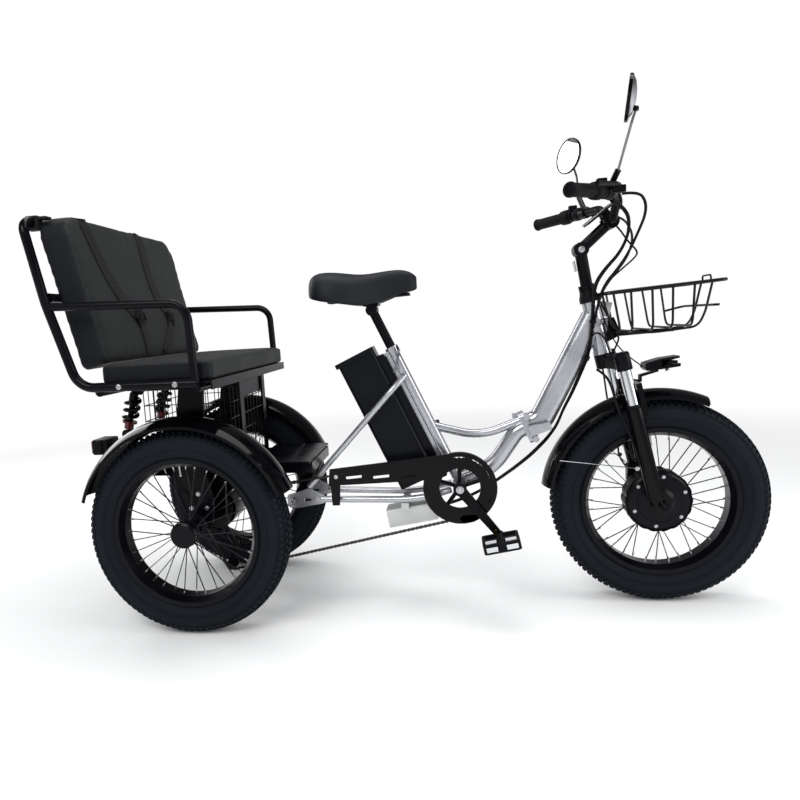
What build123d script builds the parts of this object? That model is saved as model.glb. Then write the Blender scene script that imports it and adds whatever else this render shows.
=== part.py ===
from build123d import *
import os
from math import cos, hypot, pi, radians, sin, sqrt, tan

# Electric fat tyre tricycle: folding step-through frame, rear bench seat, three 20 inch wheels.
# Lengths are millimetres. X runs forward from the rear axle, Y to the left, Z up from the floor,
# and write() moves each piece so that the origin lies midway between nose and tail.
os.makedirs("parts", exist_ok=True)

# Wheels
WHEELBASE = 1292.0
REAR_TRACK = 540.0
TYRE_R = 290.0
TYRE_W = 100.0
RIM_R = 209.0
RIM_W = 80.0
RIM_DEPTH = 23.0
SPOKES = 36
SPOKE_W = 2.4
MOTOR_R = 87.0
MOTOR_W = 88.0
DISC_R = 80.0
DISC_Y = 52.0
DISC_T = 2.2
DISC_HOLES = 14
AXLE_R = 7.0
REAR_SHAFT_R = 8.5
FIT = 0.3

# Steering
HEAD_ANGLE = 77.7
STEER_FOOT = (WHEELBASE - 142.0, 718.0)
HEAD_TUBE_L = 144.0
HEAD_TUBE_R = 22.5
CUP_H = 9.0
LEG_Y = 80.0
LEG_T = 30.0
STANCHION_R = 15.0
LOWER_R = 20.0
CROWN_LOW, CROWN_HIGH = -72.0, -12.0
LOWER_TOP = -166.0
COLLAR_H = 34.0
STEM_PIVOT = (7.0, 284.0)
BAR_CLAMP = (98.0, 335.0)
BAR_R = 11.0
GRIP_R = 16.5
GRIP_L = 128.0
MIRROR_R = 63.0
MIRROR_T = 20.0

# Folding main frame
HINGE = (WHEELBASE - 351.0, 509.0)
HINGE_TILT = 23.0
HINGE_H = 92.0
HINGE_W = 64.0
HINGE_T = 9.0
PIN_R = 6.0
PIN_Y = 43.0
KNUCKLE_R = 12.0
EAR_H = 12.0
EAR_LOW = (-34.0, 22.0)
DOWN_TUBE = (69.0, 50.0)
DOWN_TUBE_MEETS = 96.0
LOWER_TUBE_R = 24.0
UPPER_TUBE_R = 12.5
SEAT_TUBE_R = 16.0
SEAT_TOP = (WHEELBASE - 730.0, 759.0)
SEAT_POST_R = 13.5
SEAT_POST_SHOWN = 122.0
STAY_R = 9.0
CHAIN_STAY_R = 10.0

# Drive
BB = (WHEELBASE - 546.0, 352.0)
BB_R = 21.0
BB_HALF = 36.0
CRANK_L = 170.0
CRANK_ANGLE = -51.7
CRANK_Y = 99.0
PEDAL = (100.0, 92.0, 26.0)
PEDAL_TILT = 11.0
CHAIN_Y = 72.0
CHAIN_W = 8.0
CHAIN_H = 8.0
CHAIN_PITCH = 12.7
TOOTH_H = 4.0
CHAINRING_R = 86.0
COG_R = 43.0
PULLEY_R = 17.5
PULLEY = (48.0, 125.0)
GUARD_R = 104.0
GUARD_WINDOW_R = 57.0
GUARD_Y = 90.0
GUARD_T = 4.0

# Rear carriage and seat
AXLE_Z = TYRE_R
RAIL_Y = 115.0
RAIL_Z = 430.0
RAIL_S = 30.0
RAIL_X = (-160.0, 330.0)
STRUT_Y = 185.0
STRUT_T = 12.0
SEAT_HALF = 389.0
SEAT_TUBE_FRAME_R = 12.5
ARM_R = 11.0
SEAT_PAN_Z = 708.0
SEAT_PAN_T = 5.7
CUSHION_HALF = SEAT_HALF - 17.0
CUSHION_X = (-176.0, 128.0)
CUSHION_T = 50.0
BACK_HALF = SEAT_HALF - 39.0
BACK_CORNER = 62.0
BACK_TOP = 1170.0
BASKET_REAR = ((-158.0, 112.0), 165.0, 236.0)
FENDER_R = 322.0
FENDER_HALF = 62.0
FRONT_FENDER_R = 316.0
FRONT_FENDER_HALF = 56.0
FENDER_T = 3.5
LIGHT_REAR_X = -430.0
LIGHT = (76.0, 96.0, 53.0)
LIGHT_Z = 490.0

NOSE_X = WHEELBASE + TYRE_R
ORIGIN_X = (NOSE_X + LIGHT_REAR_X) / 2


def write(name, *pieces):
    """Moves a sub-part to the shared origin and writes its STEP file."""
    solids = [s for p in pieces for s in p.solids()]
    part = Compound(children=[s.moved(Location((-ORIGIN_X, 0, 0))) for s in solids])
    part.label = name
    export_step(part, f"parts/{name}.step")


def mirror_y(piece):
    return mirror(piece, about=Plane.XZ)


def steer(t, y, s):
    """A point given along the steering axis: t forward of it, s up from the head tube's foot."""
    a = radians(HEAD_ANGLE)
    return (STEER_FOOT[0] + t * sin(a) - s * cos(a), y, STEER_FOOT[1] + t * cos(a) + s * sin(a))


def steer_plane(s=0.0, t=0.0):
    """A plane square to the steering axis, its X forward."""
    a = radians(HEAD_ANGLE)
    return Plane(origin=steer(t, 0, s), x_dir=(sin(a), 0, cos(a)), z_dir=(-cos(a), 0, sin(a)))


def rod(a, b, r, bore=0.0):
    """A round bar, or a tube, from point a to point b."""
    a, b = Vector(*a), Vector(*b)
    plane = Plane(origin=a, z_dir=b - a)
    bar = Solid.make_cylinder(r, (b - a).length, plane)
    return bar - Solid.make_cylinder(bore, (b - a).length, plane) if bore else bar


def across(x, z, r, y0, y1, bore=0.0):
    """A round bar along Y from y0 to y1, with an optional bore."""
    return rod((x, y0, z), (x, y1, z), r, bore)


def bent_path(points, share=0.45, most=1e9):
    """Straight runs joined by arcs, each as large as its shorter run allows."""
    corners = [Vector(*p) for p in points]
    radii = []
    for a, b, c in zip(corners, corners[1:], corners[2:]):
        turn = radians((b - a).get_angle(c - b))
        radii.append(min(most, share * min((b - a).length, (c - b).length) / tan(turn / 2)))
    return FilletPolyline(*points, radius=radii)


def bent_tube(points, r, share=0.45, most=1e9):
    path = bent_path(points, share, most)
    return sweep(Plane(origin=path @ 0, z_dir=path % 0) * Circle(r), path=path)


def side_plate(outline, y0, y1, corner=0.0):
    """A flat plate standing in the XZ plane, from y0 to y1."""
    sketch = Polygon(*outline, align=None)
    if corner:
        sketch = fillet(sketch.vertices(), corner)
    plane = Plane(origin=(0, y1, 0), x_dir=(1, 0, 0), z_dir=(0, -1, 0))
    return extrude(plane * sketch, amount=y1 - y0, dir=(0, -1, 0))


def block(x, y, z):
    """A box given by its spans along X, Y and Z."""
    size = (x[1] - x[0], y[1] - y[0], z[1] - z[0])
    middle = ((x[0] + x[1]) / 2, (y[0] + y[1]) / 2, (z[0] + z[1]) / 2)
    return Pos(*middle) * Box(*size)


def turned(profile, x, y, z, start=0.0, arc=360.0):
    """Turns a sketch of radius and width about a wheel axis at (x, z), centred on y."""
    a = radians(start)
    plane = Plane(origin=(x, y, z), x_dir=(cos(a), 0, sin(a)), z_dir=(-sin(a), 0, cos(a)))
    return revolve(plane * profile, axis=Axis((x, y, z), (0, -1, 0)), revolution_arc=arc)


def hull_loop(circles):
    """The outline of a belt round circles (x, z, r), listed anticlockwise."""
    lines = []
    for (x1, z1, r1), (x2, z2, r2) in zip(circles, circles[1:] + circles[:1]):
        length = hypot(x2 - x1, z2 - z1)
        ux, uz = (x2 - x1) / length, (z2 - z1) / length
        lean = (r1 - r2) / length
        side = sqrt(1 - lean * lean)
        nx, nz = ux * lean + uz * side, uz * lean - ux * side
        lines.append(((x1 + r1 * nx, z1 + r1 * nz), (x2 + r2 * nx, z2 + r2 * nz), (nx, nz)))
    edges = []
    for i, (start, end, normal) in enumerate(lines):
        x, z, r = circles[(i + 1) % len(circles)]
        after, next_normal = lines[(i + 1) % len(lines)][0], lines[(i + 1) % len(lines)][2]
        mx, mz = normal[0] + next_normal[0], normal[1] + next_normal[1]
        m = hypot(mx, mz)
        edges.append(Line(start, end))
        edges.append(ThreePointArc(end, (x + r * mx / m, z + r * mz / m), after))
    return make_face(Wire(edges))


# Wheels: tyre, then rim, spokes and hub as one laced piece


def tyre(x, y):
    half, bead = TYRE_W / 2, RIM_W / 2 - 6
    height = TYRE_R - RIM_R
    bulge, wall = RIM_R + 0.3 * height, TYRE_R - 0.345 * height
    outline = [
        Line((RIM_R - 5 + FIT, -bead), (RIM_R - 5 + FIT, bead)),
        Line((RIM_R - 5 + FIT, bead), (RIM_R + 3, bead)),
        Line((RIM_R + 3, bead), (bulge, half)),
        Line((bulge, half), (wall, half)),
        ThreePointArc((wall, half), (TYRE_R, 0), (wall, -half)),
        Line((wall, -half), (bulge, -half)),
        Line((bulge, -half), (RIM_R + 3, -bead)),
        Line((RIM_R + 3, -bead), (RIM_R - 5 + FIT, -bead)),
    ]
    return turned(make_face(Wire(outline)), x, y, AXLE_Z)


def rim(x, y):
    half = RIM_W / 2
    bed = RIM_R - 5
    outline = [
        (RIM_R - RIM_DEPTH, -19), (RIM_R - RIM_DEPTH, 19), (RIM_R - 12, half - 1), (RIM_R, half),
        (RIM_R, half - 5), (bed, half - 5), (bed, 5 - half), (RIM_R, 5 - half), (RIM_R, -half),
        (RIM_R - 12, 1 - half),
    ]
    return turned(Polygon(*outline, align=None), x, y, AXLE_Z)


def spokes(x, y, flange_r, flange_y):
    """Crossed pairs of spokes from the two hub flanges to the rim's inner wall."""
    bars = []
    rim_r = RIM_R - RIM_DEPTH + 1.5
    for i in range(SPOKES):
        side = 1 if i % 2 else -1
        lean = 10.0 if (i // 2) % 2 else -10.0
        at = radians(360.0 * i / SPOKES)
        foot = at + radians(lean)
        a = Vector(x + flange_r * cos(foot), y + side * flange_y, AXLE_Z + flange_r * sin(foot))
        b = Vector(x + rim_r * cos(at), y + side * 5, AXLE_Z + rim_r * sin(at))
        plane = Plane(origin=a, x_dir=(0, 1, 0) if abs(b.Y - a.Y) < 1 else None, z_dir=b - a)
        bars.append(extrude(plane * Rectangle(SPOKE_W, SPOKE_W), amount=(b - a).length))
    return bars


def motor_hub(x, y):
    half = MOTOR_W / 2
    outline = [
        (AXLE_R + FIT, -half), (30, -half), (40, 6 - half), (78, 10 - half), (MOTOR_R - 4, 14 - half),
        (MOTOR_R, 18 - half), (MOTOR_R, half - 18), (MOTOR_R - 4, half - 14), (78, half - 10),
        (40, half - 6), (30, half), (AXLE_R + FIT, half),
    ]
    return turned(Polygon(*outline, align=None), x, y, AXLE_Z)


def rear_hub(x, y):
    """A rear hub shell, its cap outboard and its shaft running in towards the middle."""
    out = 1 if y > 0 else -1
    outline = [
        (0, -45), (28, -45), (28, -34), (38, -33), (38, -29), (24, -25), (24, 25), (38, 29),
        (38, 33), (30, 35), (36, 40), (36, 54), (30, 58), (0, 58),
    ]
    hub = turned(Polygon(*[(r, out * w) for r, w in outline], align=None), x, y, AXLE_Z)
    shaft = across(x, AXLE_Z, REAR_SHAFT_R, y - out * 158, y - out * 45)
    return hub + shaft


def laced_wheel(x, y, hub, flange_r, flange_y):
    wheel = hub + rim(x, y)
    return wheel + spokes(x, y, flange_r, flange_y)


# Frame halves


def hinge_plate(front):
    """One of the two plates that meet at the fold, leaning with the tube's end."""
    a = radians(HINGE_TILT)
    plane = Plane(origin=(HINGE[0], 0, HINGE[1]), x_dir=(0, 1, 0), z_dir=(cos(a), 0, sin(a)))
    side = 1 if front else -1
    outline = RectangleRounded(HINGE_W, HINGE_H, 14)
    return extrude(plane.offset(side * FIT / 2) * outline, amount=side * HINGE_T)


def seat_tube():
    bottom, top = (BB[0], 0, BB[1]), (SEAT_TOP[0], 0, SEAT_TOP[1])
    tube = rod(bottom, top, SEAT_TUBE_R)
    shell = across(BB[0], BB[1], BB_R, -BB_HALF, BB_HALF)
    collar = rod(along_seat(0.95), along_seat(1.0), SEAT_TUBE_R + 4)
    post_bore = rod(along_seat(0.55), along_seat(1.02), SEAT_POST_R + 0.15)
    axle_bore = across(BB[0], BB[1], 9.0, -BB_HALF - 1, BB_HALF + 1)
    rail = battery_rail()
    return tube + shell + collar + rail - post_bore - axle_bore


def along_seat(f):
    """A point on the seat tube's axis: 0 at the crank, 1 at the clamp."""
    return (BB[0] + f * (SEAT_TOP[0] - BB[0]), 0, BB[1] + f * (SEAT_TOP[1] - BB[1]))


def seat_plane(f):
    """Square to the seat tube at f of its height, its X pointing back."""
    up = Vector(SEAT_TOP[0] - BB[0], 0, SEAT_TOP[1] - BB[1]).normalized()
    return Plane(origin=along_seat(f), x_dir=(-up.Z, 0, up.X), z_dir=up)


BATTERY_BACK, BATTERY_FRONT = 163.0, 46.3
BATTERY_W = 84.0
BATTERY_L = 404.0
BATTERY_FOOT = 0.125


def battery_rail():
    plane = seat_plane(BATTERY_FOOT + 0.02)
    middle = (SEAT_TUBE_R - 4 + BATTERY_FRONT - FIT) / 2
    depth = BATTERY_FRONT - FIT - SEAT_TUBE_R + 4
    return extrude(plane * (Pos(middle, 0) * Rectangle(depth, 34)), amount=BATTERY_L - 30)


def battery():
    plane = seat_plane(BATTERY_FOOT)
    middle = (BATTERY_BACK + BATTERY_FRONT) / 2
    case = RectangleRounded(BATTERY_BACK - BATTERY_FRONT, BATTERY_W, 14)
    body = extrude(plane * (Pos(middle, 0) * case), amount=BATTERY_L)
    cap = RectangleRounded(BATTERY_BACK - BATTERY_FRONT + 8, BATTERY_W + 6, 16)
    lid = extrude(plane.offset(BATTERY_L) * (Pos(middle + 4, 0) * cap), amount=14)
    return body + lid


def controller_box():
    """The motor controller's case, slung from the chain stays by one strap."""
    case = Box(146, 78, 56)
    case = fillet(case.edges().filter_by(Axis.X), 8)
    strap = block((BB[0] - 172, BB[0] - 150), (-56, 56), (280, 300.9))
    return Pos(BB[0] - 143, 0, 259) * Rot(0, -10, 0) * case + strap


SADDLE_RAIL_R = 4.0
SADDLE_RAIL_Y = 22.0


def saddle_rails(r):
    """The two rails under the saddle, as bars of radius r, rising towards the nose."""
    top = along_seat(1 + SEAT_POST_SHOWN / 447)
    x, z = top[0], top[2]
    return [rod((x - 128, y, z + 29), (x + 112, y, z + 39), r) for y in (-SADDLE_RAIL_Y, SADDLE_RAIL_Y)]


def seat_post():
    top = along_seat(1 + SEAT_POST_SHOWN / 447)
    post = rod(along_seat(0.72), top, SEAT_POST_R)
    head = across(top[0], top[2], 17, -24, 24)
    x, z = top[0], top[2] + 17
    clamp = block((x - 22, x + 22), (-30, 30), (z - 6, z + 24))
    return post + head + clamp + saddle_rails(SADDLE_RAIL_R)


# Sections of the saddle: x from the seat clamp, half width, underside and crown
SADDLE_ROWS = [
    (-229, 48, 919, 960), (-206, 104, 901, 985), (-160, 121, 891, 986), (-112, 113, 884, 979), (-62, 79, 880, 974),
    (-2, 47, 889, 979), (46, 34, 906, 980), (72, 27, 915, 970), (86, 15, 921, 956),
]


def saddle():
    """A broad saddle lofted from nose to tail, hollowed underneath for its rails and clamp."""
    sections = []
    for x, half, low, top in SADDLE_ROWS:
        shoulder = top - 0.38 * half
        skirt = low + 6
        outline = [
            Line((-half + 5, low), (half - 5, low)),
            Line((half - 5, low), (half, skirt)),
            Line((half, skirt), (half, shoulder)),
            ThreePointArc((half, shoulder), (0, top), (-half, shoulder)),
            Line((-half, shoulder), (-half, skirt)),
            Line((-half, skirt), (-half + 5, low)),
        ]
        plane = Plane(origin=(SEAT_TOP[0] + x, 0, 0), x_dir=(0, 1, 0), z_dir=(1, 0, 0))
        sections.append(plane * make_face(Wire(outline)))
    x0, x1 = SEAT_TOP[0] - 164, SEAT_TOP[0] + 44
    hollow = block((x0, x1), (-36, 36), (870, 915))
    return loft(sections, ruled=True) - hollow - saddle_rails(SADDLE_RAIL_R + FIT)


def lower_tube(cuts):
    """The rear half's curved main tube with its hinge plate, knuckles and pin."""
    a = radians(HINGE_TILT)
    end = (HINGE[0] - (HINGE_T + 4) * cos(a), 0, HINGE[1] - (HINGE_T + 4) * sin(a))
    start = (HINGE[0] - 4 * cos(a), 0, HINGE[1] - 4 * sin(a))
    path = [start, (end[0] - 16, 0, end[2] - 10), (HINGE[0] - 98, 0, 393), (BB[0] + 4, 0, BB[1] + 2)]
    tube = bent_tube(path, LOWER_TUBE_R)
    body = tube + hinge_plate(False)
    pin_x = hinge_pin_x()
    for z in ear_feet():
        ear = block((pin_x - 62, pin_x), (HINGE_W / 2 - 6, PIN_Y + 3), (z, z + EAR_H))
        body += ear + rod((pin_x, PIN_Y, z), (pin_x, PIN_Y, z + EAR_H), KNUCKLE_R)
    body += rod((pin_x, PIN_Y, HINGE[1] - 40), (pin_x, PIN_Y, HINGE[1] + 40), PIN_R)
    return body - cuts - across(*BB, BB_R, -BB_HALF, BB_HALF) - front_clear()


def hinge_pin_x():
    """The fold pin stands just ahead of the plates' foremost corner."""
    return HINGE[0] + HINGE_H / 2 * sin(radians(HINGE_TILT)) + 8


def ear_feet():
    """Undersides of the two ears that the rear half holds the pin with."""
    return [HINGE[1] + low for low in EAR_LOW]


def front_clear():
    """Everything ahead of the meeting plane, as far as the plates reach sideways."""
    a = radians(HINGE_TILT)
    plane = Plane(origin=(HINGE[0], 0, HINGE[1]), x_dir=(0, 1, 0), z_dir=(cos(a), 0, sin(a)))
    return extrude(plane.offset(-FIT / 2) * Rectangle(HINGE_W + 1, 130), amount=60)


def upper_tube(cuts):
    start = (HINGE[0] - 12, 0, HINGE[1] + 20)
    return bent_tube([start, (HINGE[0] - 132, 0, 484), (BB[0] - 73, 0, 521)], UPPER_TUBE_R) - cuts


def front_frame():
    """Head tube, down tube, hinge plate, knuckle and the basket's bracket."""
    a = radians(HINGE_TILT)
    head = Solid.make_cylinder(HEAD_TUBE_R, HEAD_TUBE_L, steer_plane())
    for s in (-CUP_H, HEAD_TUBE_L):
        head += Solid.make_cylinder(HEAD_TUBE_R + 2, CUP_H, steer_plane(s))
    plate_face = (HINGE[0] + 5 * cos(a), 0, HINGE[1] + 5 * sin(a))
    knee = (HINGE[0] + 44 * cos(a), 0, HINGE[1] + 44 * sin(a))
    path = bent_path([plate_face, knee, steer(0, 0, DOWN_TUBE_MEETS)])
    section = SlotOverall(*DOWN_TUBE)
    start = Plane(origin=path @ 0, x_dir=(-(path % 0).Z, 0, (path % 0).X), z_dir=path % 0)
    body = head + sweep(start * section, path=path) + hinge_plate(True)
    pin_x = hinge_pin_x()
    low, high = ear_feet()[0] + EAR_H + FIT, ear_feet()[1] - FIT
    for z in ear_feet():
        body -= rod((pin_x, PIN_Y, z - FIT), (pin_x, PIN_Y, z + EAR_H + FIT), KNUCKLE_R + FIT)
    body += rod((pin_x, PIN_Y, low), (pin_x, PIN_Y, high), KNUCKLE_R)
    body += block((pin_x, pin_x + 22), (DOWN_TUBE[1] / 2 - 8, PIN_Y + 3), (low, high))
    foot = steer(HEAD_TUBE_R - 2, 0, 30)
    shelf_end = STEER_FOOT[0] + 180
    shelf = [(foot[0], 744), (foot[0], 806), (foot[0] + 14, 806), (foot[0] + 30, 768), (shelf_end, 768),
             (shelf_end, 762), (foot[0] + 26, 757)]
    body += side_plate(shelf, -20, 20)
    steerer = Solid.make_cylinder(STANCHION_R + 1, HEAD_TUBE_L + 60, steer_plane(-30))
    return body - steerer - rod((pin_x, PIN_Y, low - 1), (pin_x, PIN_Y, high + 1), PIN_R + 0.15)


def fold_latch():
    """Latch lever on the right of the fold, carried by the front half."""
    y0, y1 = -HINGE_W / 2 - 18, -HINGE_W / 2 - FIT
    x, z = HINGE[0], HINGE[1]
    lever = side_plate([(x + 8, z - 22), (x + 66, z - 2), (x + 60, z + 18), (x + 2, z + 8)], y0, y1, 4)
    lugs = [rod((x + dx, y0 + 2, z + dz), (x + dx, y1, z + dz), 9) for dx, dz in ((22, -30), (-2, 34))]
    return lever + lugs


def seat_stays(cuts):
    route = [(BB[0] - 146, -23, 676), (BB[0] - 180, -53, 640), (300, -57, 356)]
    stay = bent_tube(route, STAY_R) - cuts
    return stay, mirror_y(stay)


def chain_stays(cuts):
    route = [(BB[0] - 24, -44, 337), (BB[0] - 91, -51, 318), (BB[0] - 161, -52, 311), (336, -60, 318)]
    stay = bent_tube(route, CHAIN_STAY_R)
    outline = [(232, 300), (262, 292), (345, 306), (345, 330), (322, 340), (300, 352), (262, 340), (232, 332)]
    plate = side_plate(outline, -64, -56, 6)
    slot = side_plate([(284, 313), (306, 313), (306, 321), (284, 321)], -65, -55)
    stay = stay + plate - slot - cuts - across(250, 316, 6, -70, -50)
    return stay, mirror_y(stay)


def toothed(x, z, r, y0, y1, bore):
    """A sprocket whose tooth tips lie at r, cut to the chain's pitch."""
    teeth = round(2 * pi * r / CHAIN_PITCH)
    step = 2 * pi / teeth
    outline = []
    for i in range(teeth):
        for share, depth in ((0.0, TOOTH_H), (0.3, TOOTH_H), (0.52, 0.0), (0.78, 0.0)):
            a = step * (i + share)
            outline.append((x + (r - depth) * cos(a), z + (r - depth) * sin(a)))
    return side_plate(outline, y0, y1) - across(x, z, bore, y0 - 1, y1 + 1)


def crank_set():
    """Crank axle, two arms, spider and chainring, turning about the crank axis."""
    x, z = BB
    body = across(x, z, 8.5, -CRANK_Y - 12, CRANK_Y + 12)
    for side in (-1, 1):
        a = radians(CRANK_ANGLE) + (0 if side < 0 else radians(180))
        ex, ez = x + CRANK_L * cos(a), z + CRANK_L * sin(a)
        y0, y1 = sorted((side * CRANK_Y, side * (CRANK_Y + 12)))
        nx, nz = -sin(a), cos(a)
        arm = [(x - 15 * nx, z - 15 * nz), (ex - 10 * nx, ez - 10 * nz), (ex + 10 * nx, ez + 10 * nz),
               (x + 15 * nx, z + 15 * nz)]
        body += side_plate(arm, y0, y1) + across(x, z, 19, y0, y1) + across(ex, ez, 13, y0, y1)
        body += across(ex, ez, 6, min(y0, y1 + 8), max(y0, y1 + 8)) if side > 0 else \
            across(ex, ez, 6, y0 - 8, y1)
    ring = toothed(x, z, CHAINRING_R, -CHAIN_Y - 1.5, -CHAIN_Y + 1.5, 66)
    body += ring + across(x, z, 17, -CRANK_Y, -CHAIN_Y + 4)
    for i in range(5):
        a = radians(90 + 72 * i)
        tip = (x + 70 * cos(a), -CHAIN_Y - 3.5, z + 70 * sin(a))
        body += rod((x, -CHAIN_Y - 3.5, z), tip, 6)
    return body


def pedal(side):
    a = radians(CRANK_ANGLE) + (0 if side < 0 else radians(180))
    x, z = BB[0] + CRANK_L * cos(a), BB[1] + CRANK_L * sin(a)
    inner = CRANK_Y + 20 + FIT
    y = side * (inner + 5 + PEDAL[1] / 2)
    frame = Box(*PEDAL)
    frame = fillet(frame.edges().filter_by(Axis.Z), 10)
    for i in (-1, 1):
        for j in (-1, 1):
            frame -= Pos(i * 25, j * 21, 0) * Box(34, 30, PEDAL[2] + 2)
    body = Pos(x, y, z) * Rot(0, -PEDAL_TILT, 0) * frame
    y0, y1 = sorted((side * inner, y))
    return body + across(x, z, 9, y0, y1)


def chain():
    """One closed loop round chainring, rear cog and idler."""
    half = CHAIN_H / 2
    centres = [(*BB, CHAINRING_R + 1 + half), (0.0, AXLE_Z, COG_R + 1 + half), (*PULLEY, PULLEY_R + 1 + half)]
    outer = hull_loop([(x, z, r + half) for x, z, r in centres])
    inner = hull_loop([(x, z, r - half) for x, z, r in centres])
    plane = Plane(origin=(0, -CHAIN_Y + CHAIN_W / 2, 0), x_dir=(1, 0, 0), z_dir=(0, -1, 0))
    return extrude(plane * (outer - inner), amount=CHAIN_W, dir=(0, -1, 0))


def chain_guard():
    y0, y1 = -GUARD_Y - GUARD_T / 2, -GUARD_Y + GUARD_T / 2
    disc = across(*BB, GUARD_R, y0, y1)
    arm = side_plate([(BB[0], BB[1] + GUARD_R - 1), (BB[0] - 60, BB[1] + 96), (372, 415), (366, 365),
                      (BB[0] - 60, BB[1] + 26)], y0, y1)
    lip = across(*BB, GUARD_R, y0, y0 + 12, GUARD_R - 3)
    guard = disc + arm + lip - across(*BB, GUARD_WINDOW_R, y0 - 1, y1 + 20)
    for x in (BB[0] - 326, BB[0] - 246, BB[0] - 166):
        guard -= side_plate([(x, 384), (x + 46, 388), (x + 46, 396), (x, 392)], y0 - 1, y1 + 1)
    tab = side_plate([(372, 372), (402, 376), (397, 306), (375, 306)], y0, y1, 3)
    return guard + tab + across(386, 318, 5, y1 - 1, -68.7)


def rear_gears():
    """Cogs on the axle housing, and the derailleur's two idlers and cage below them."""
    cogs = [(60, 57), (64, 53), (72, COG_R), (78, 38), (82, 34), (86, 30), (90, 27)]
    stack = across(0, AXLE_Z, 25, -94, -56, 22 + FIT)
    for y, r in cogs:
        stack += toothed(0, AXLE_Z, r, -y - 1, -y + 1, 24)
    top = (64.0, 196.0)
    cage = None
    for y0, y1 in ((-82, -79.5), (-64.5, -62)):
        bar = side_plate([(top[0] - 9, top[1]), (PULLEY[0] - 9, PULLEY[1]), (PULLEY[0] + 9, PULLEY[1]),
                          (top[0] + 9, top[1])], y0, y1)
        bar = bar + across(*top, 12, y0, y1) + across(*PULLEY, 12, y0, y1)
        cage = bar if cage is None else cage + bar
    for centre in (top, PULLEY):
        cage += across(*centre, PULLEY_R, -CHAIN_Y - 2, -CHAIN_Y + 2) + across(*centre, 4, -82, -62)
    knuckle = rod((top[0], -92, top[1]), (top[0], -79.5, top[1]), 13)
    arm = rod((top[0], -92, top[1]), (40, -105, 254), 9)
    return stack, cage + knuckle + arm - hanger_plates()[0]


def hanger_plates():
    """Plates that hang the axle housing from the carriage rails."""
    outline = [(-44, RAIL_Z - RAIL_S / 2), (60, RAIL_Z - RAIL_S / 2), (52, 250), (20, 252), (0, 258),
               (-30, 270), (-34, 320)]
    plate = side_plate(outline, -RAIL_Y - 6, -RAIL_Y + 6) + across(0, AXLE_Z, 34, -RAIL_Y - 6, -RAIL_Y + 6)
    plate -= across(0, AXLE_Z, 22 + FIT, -RAIL_Y - 8, -RAIL_Y + 8)
    return plate, mirror_y(plate)


def axle_housing():
    half = STRUT_Y - STRUT_T / 2 - FIT
    body = across(0, AXLE_Z, 22, -half, half) + across(0, AXLE_Z, 62, -52, 56)
    body += across(0, AXLE_Z, 44, 56, 68)
    for side in (-1, 1):
        y0, y1 = sorted((side * 108, side * (half + 1)))
        body -= across(0, AXLE_Z, REAR_SHAFT_R + FIT, y0, y1)
    return body


def side_struts():
    outline = [(-29, SEAT_PAN_Z - FIT), (42, SEAT_PAN_Z - FIT), (26, 440), (44, 350), (36, 278), (0, 254),
               (-36, 278), (-44, 350), (-70, 440)]
    y0, y1 = -STRUT_Y - STRUT_T / 2, -STRUT_Y + STRUT_T / 2
    strut = side_plate(outline, y0, y1, 8) + across(0, AXLE_Z, 30, y0 - 8, y1)
    lip = REAR_TRACK / 2 - FENDER_HALF
    strut += block((-16, 16), (-lip + FIT, y0 + 1), (584, 592))
    strut -= across(0, AXLE_Z, REAR_SHAFT_R + FIT, y0 - 10, y1 + 1)
    return strut, mirror_y(strut)


def carriage_rails():
    low, high = RAIL_Z - RAIL_S / 2, RAIL_Z + RAIL_S / 2
    y0, y1 = -RAIL_Y - RAIL_S / 2, -RAIL_Y + RAIL_S / 2
    rail = block(RAIL_X, (y0, y1), (low, high))
    arm = rod((RAIL_X[0] - 2, -RAIL_Y, RAIL_Z), (-238, -RAIL_Y, 540), 11)
    eye = across(-239, 545, 14, -RAIL_Y - 12, -RAIL_Y + 12)
    rail = rail + arm + eye
    return rail, mirror_y(rail)


def carriage_cross(cuts):
    """Cross members between the rails, the tongue to the frame's plates, and the lamp's arm."""
    inner = RAIL_Y - RAIL_S / 2
    low, high = RAIL_Z - RAIL_S / 2, RAIL_Z + RAIL_S / 2
    pieces = [block((x, x + RAIL_S), (-inner, inner), (low, high)) for x in (RAIL_X[0], 110, 300)]
    for side in (-1, 1):
        y0, y1 = sorted((side * 38, side * 49))
        arm = side_plate([(236, 304), (262, 302), (330, low + 1), (300, low + 1)], y0, y1, 3)
        pieces[2] += arm + across(250, 316, 16, y0, y1)
        pieces[2] += across(250, 316, 6 - FIT, min(y0, side * 70), max(y1, side * 70))
    lamp_end = LIGHT_REAR_X + LIGHT[0]
    pieces[0] += rod((RAIL_X[0] + 2, 0, RAIL_Z + 6), (lamp_end + FIT, 0, LIGHT_Z), 9)
    pieces[0] -= tail_light()
    return pieces


SHOCK_TURNS = 4
SHOCK_TURN_H = 9.0


def shocks():
    """Coil dampers between the carriage's rear arms and the seat frame."""
    low, high = Vector(-239, -RAIL_Y, 545), Vector(-205, -RAIL_Y, 672)
    up = (high - low).normalized()
    body = rod(low + up * 14.3, low + up * 40, 13) + rod(low + up * 40, low + up * 106, 15)
    for i in range(SHOCK_TURNS):
        turn = 40 + i * (66 - SHOCK_TURN_H) / (SHOCK_TURNS - 1)
        body += rod(low + up * turn, low + up * (turn + SHOCK_TURN_H), 24)
    body += rod(low + up * 106, high, 11) + across(high.X, high.Z, 11, -RAIL_Y - 12, -RAIL_Y + 12)
    return body, mirror_y(body)


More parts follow.
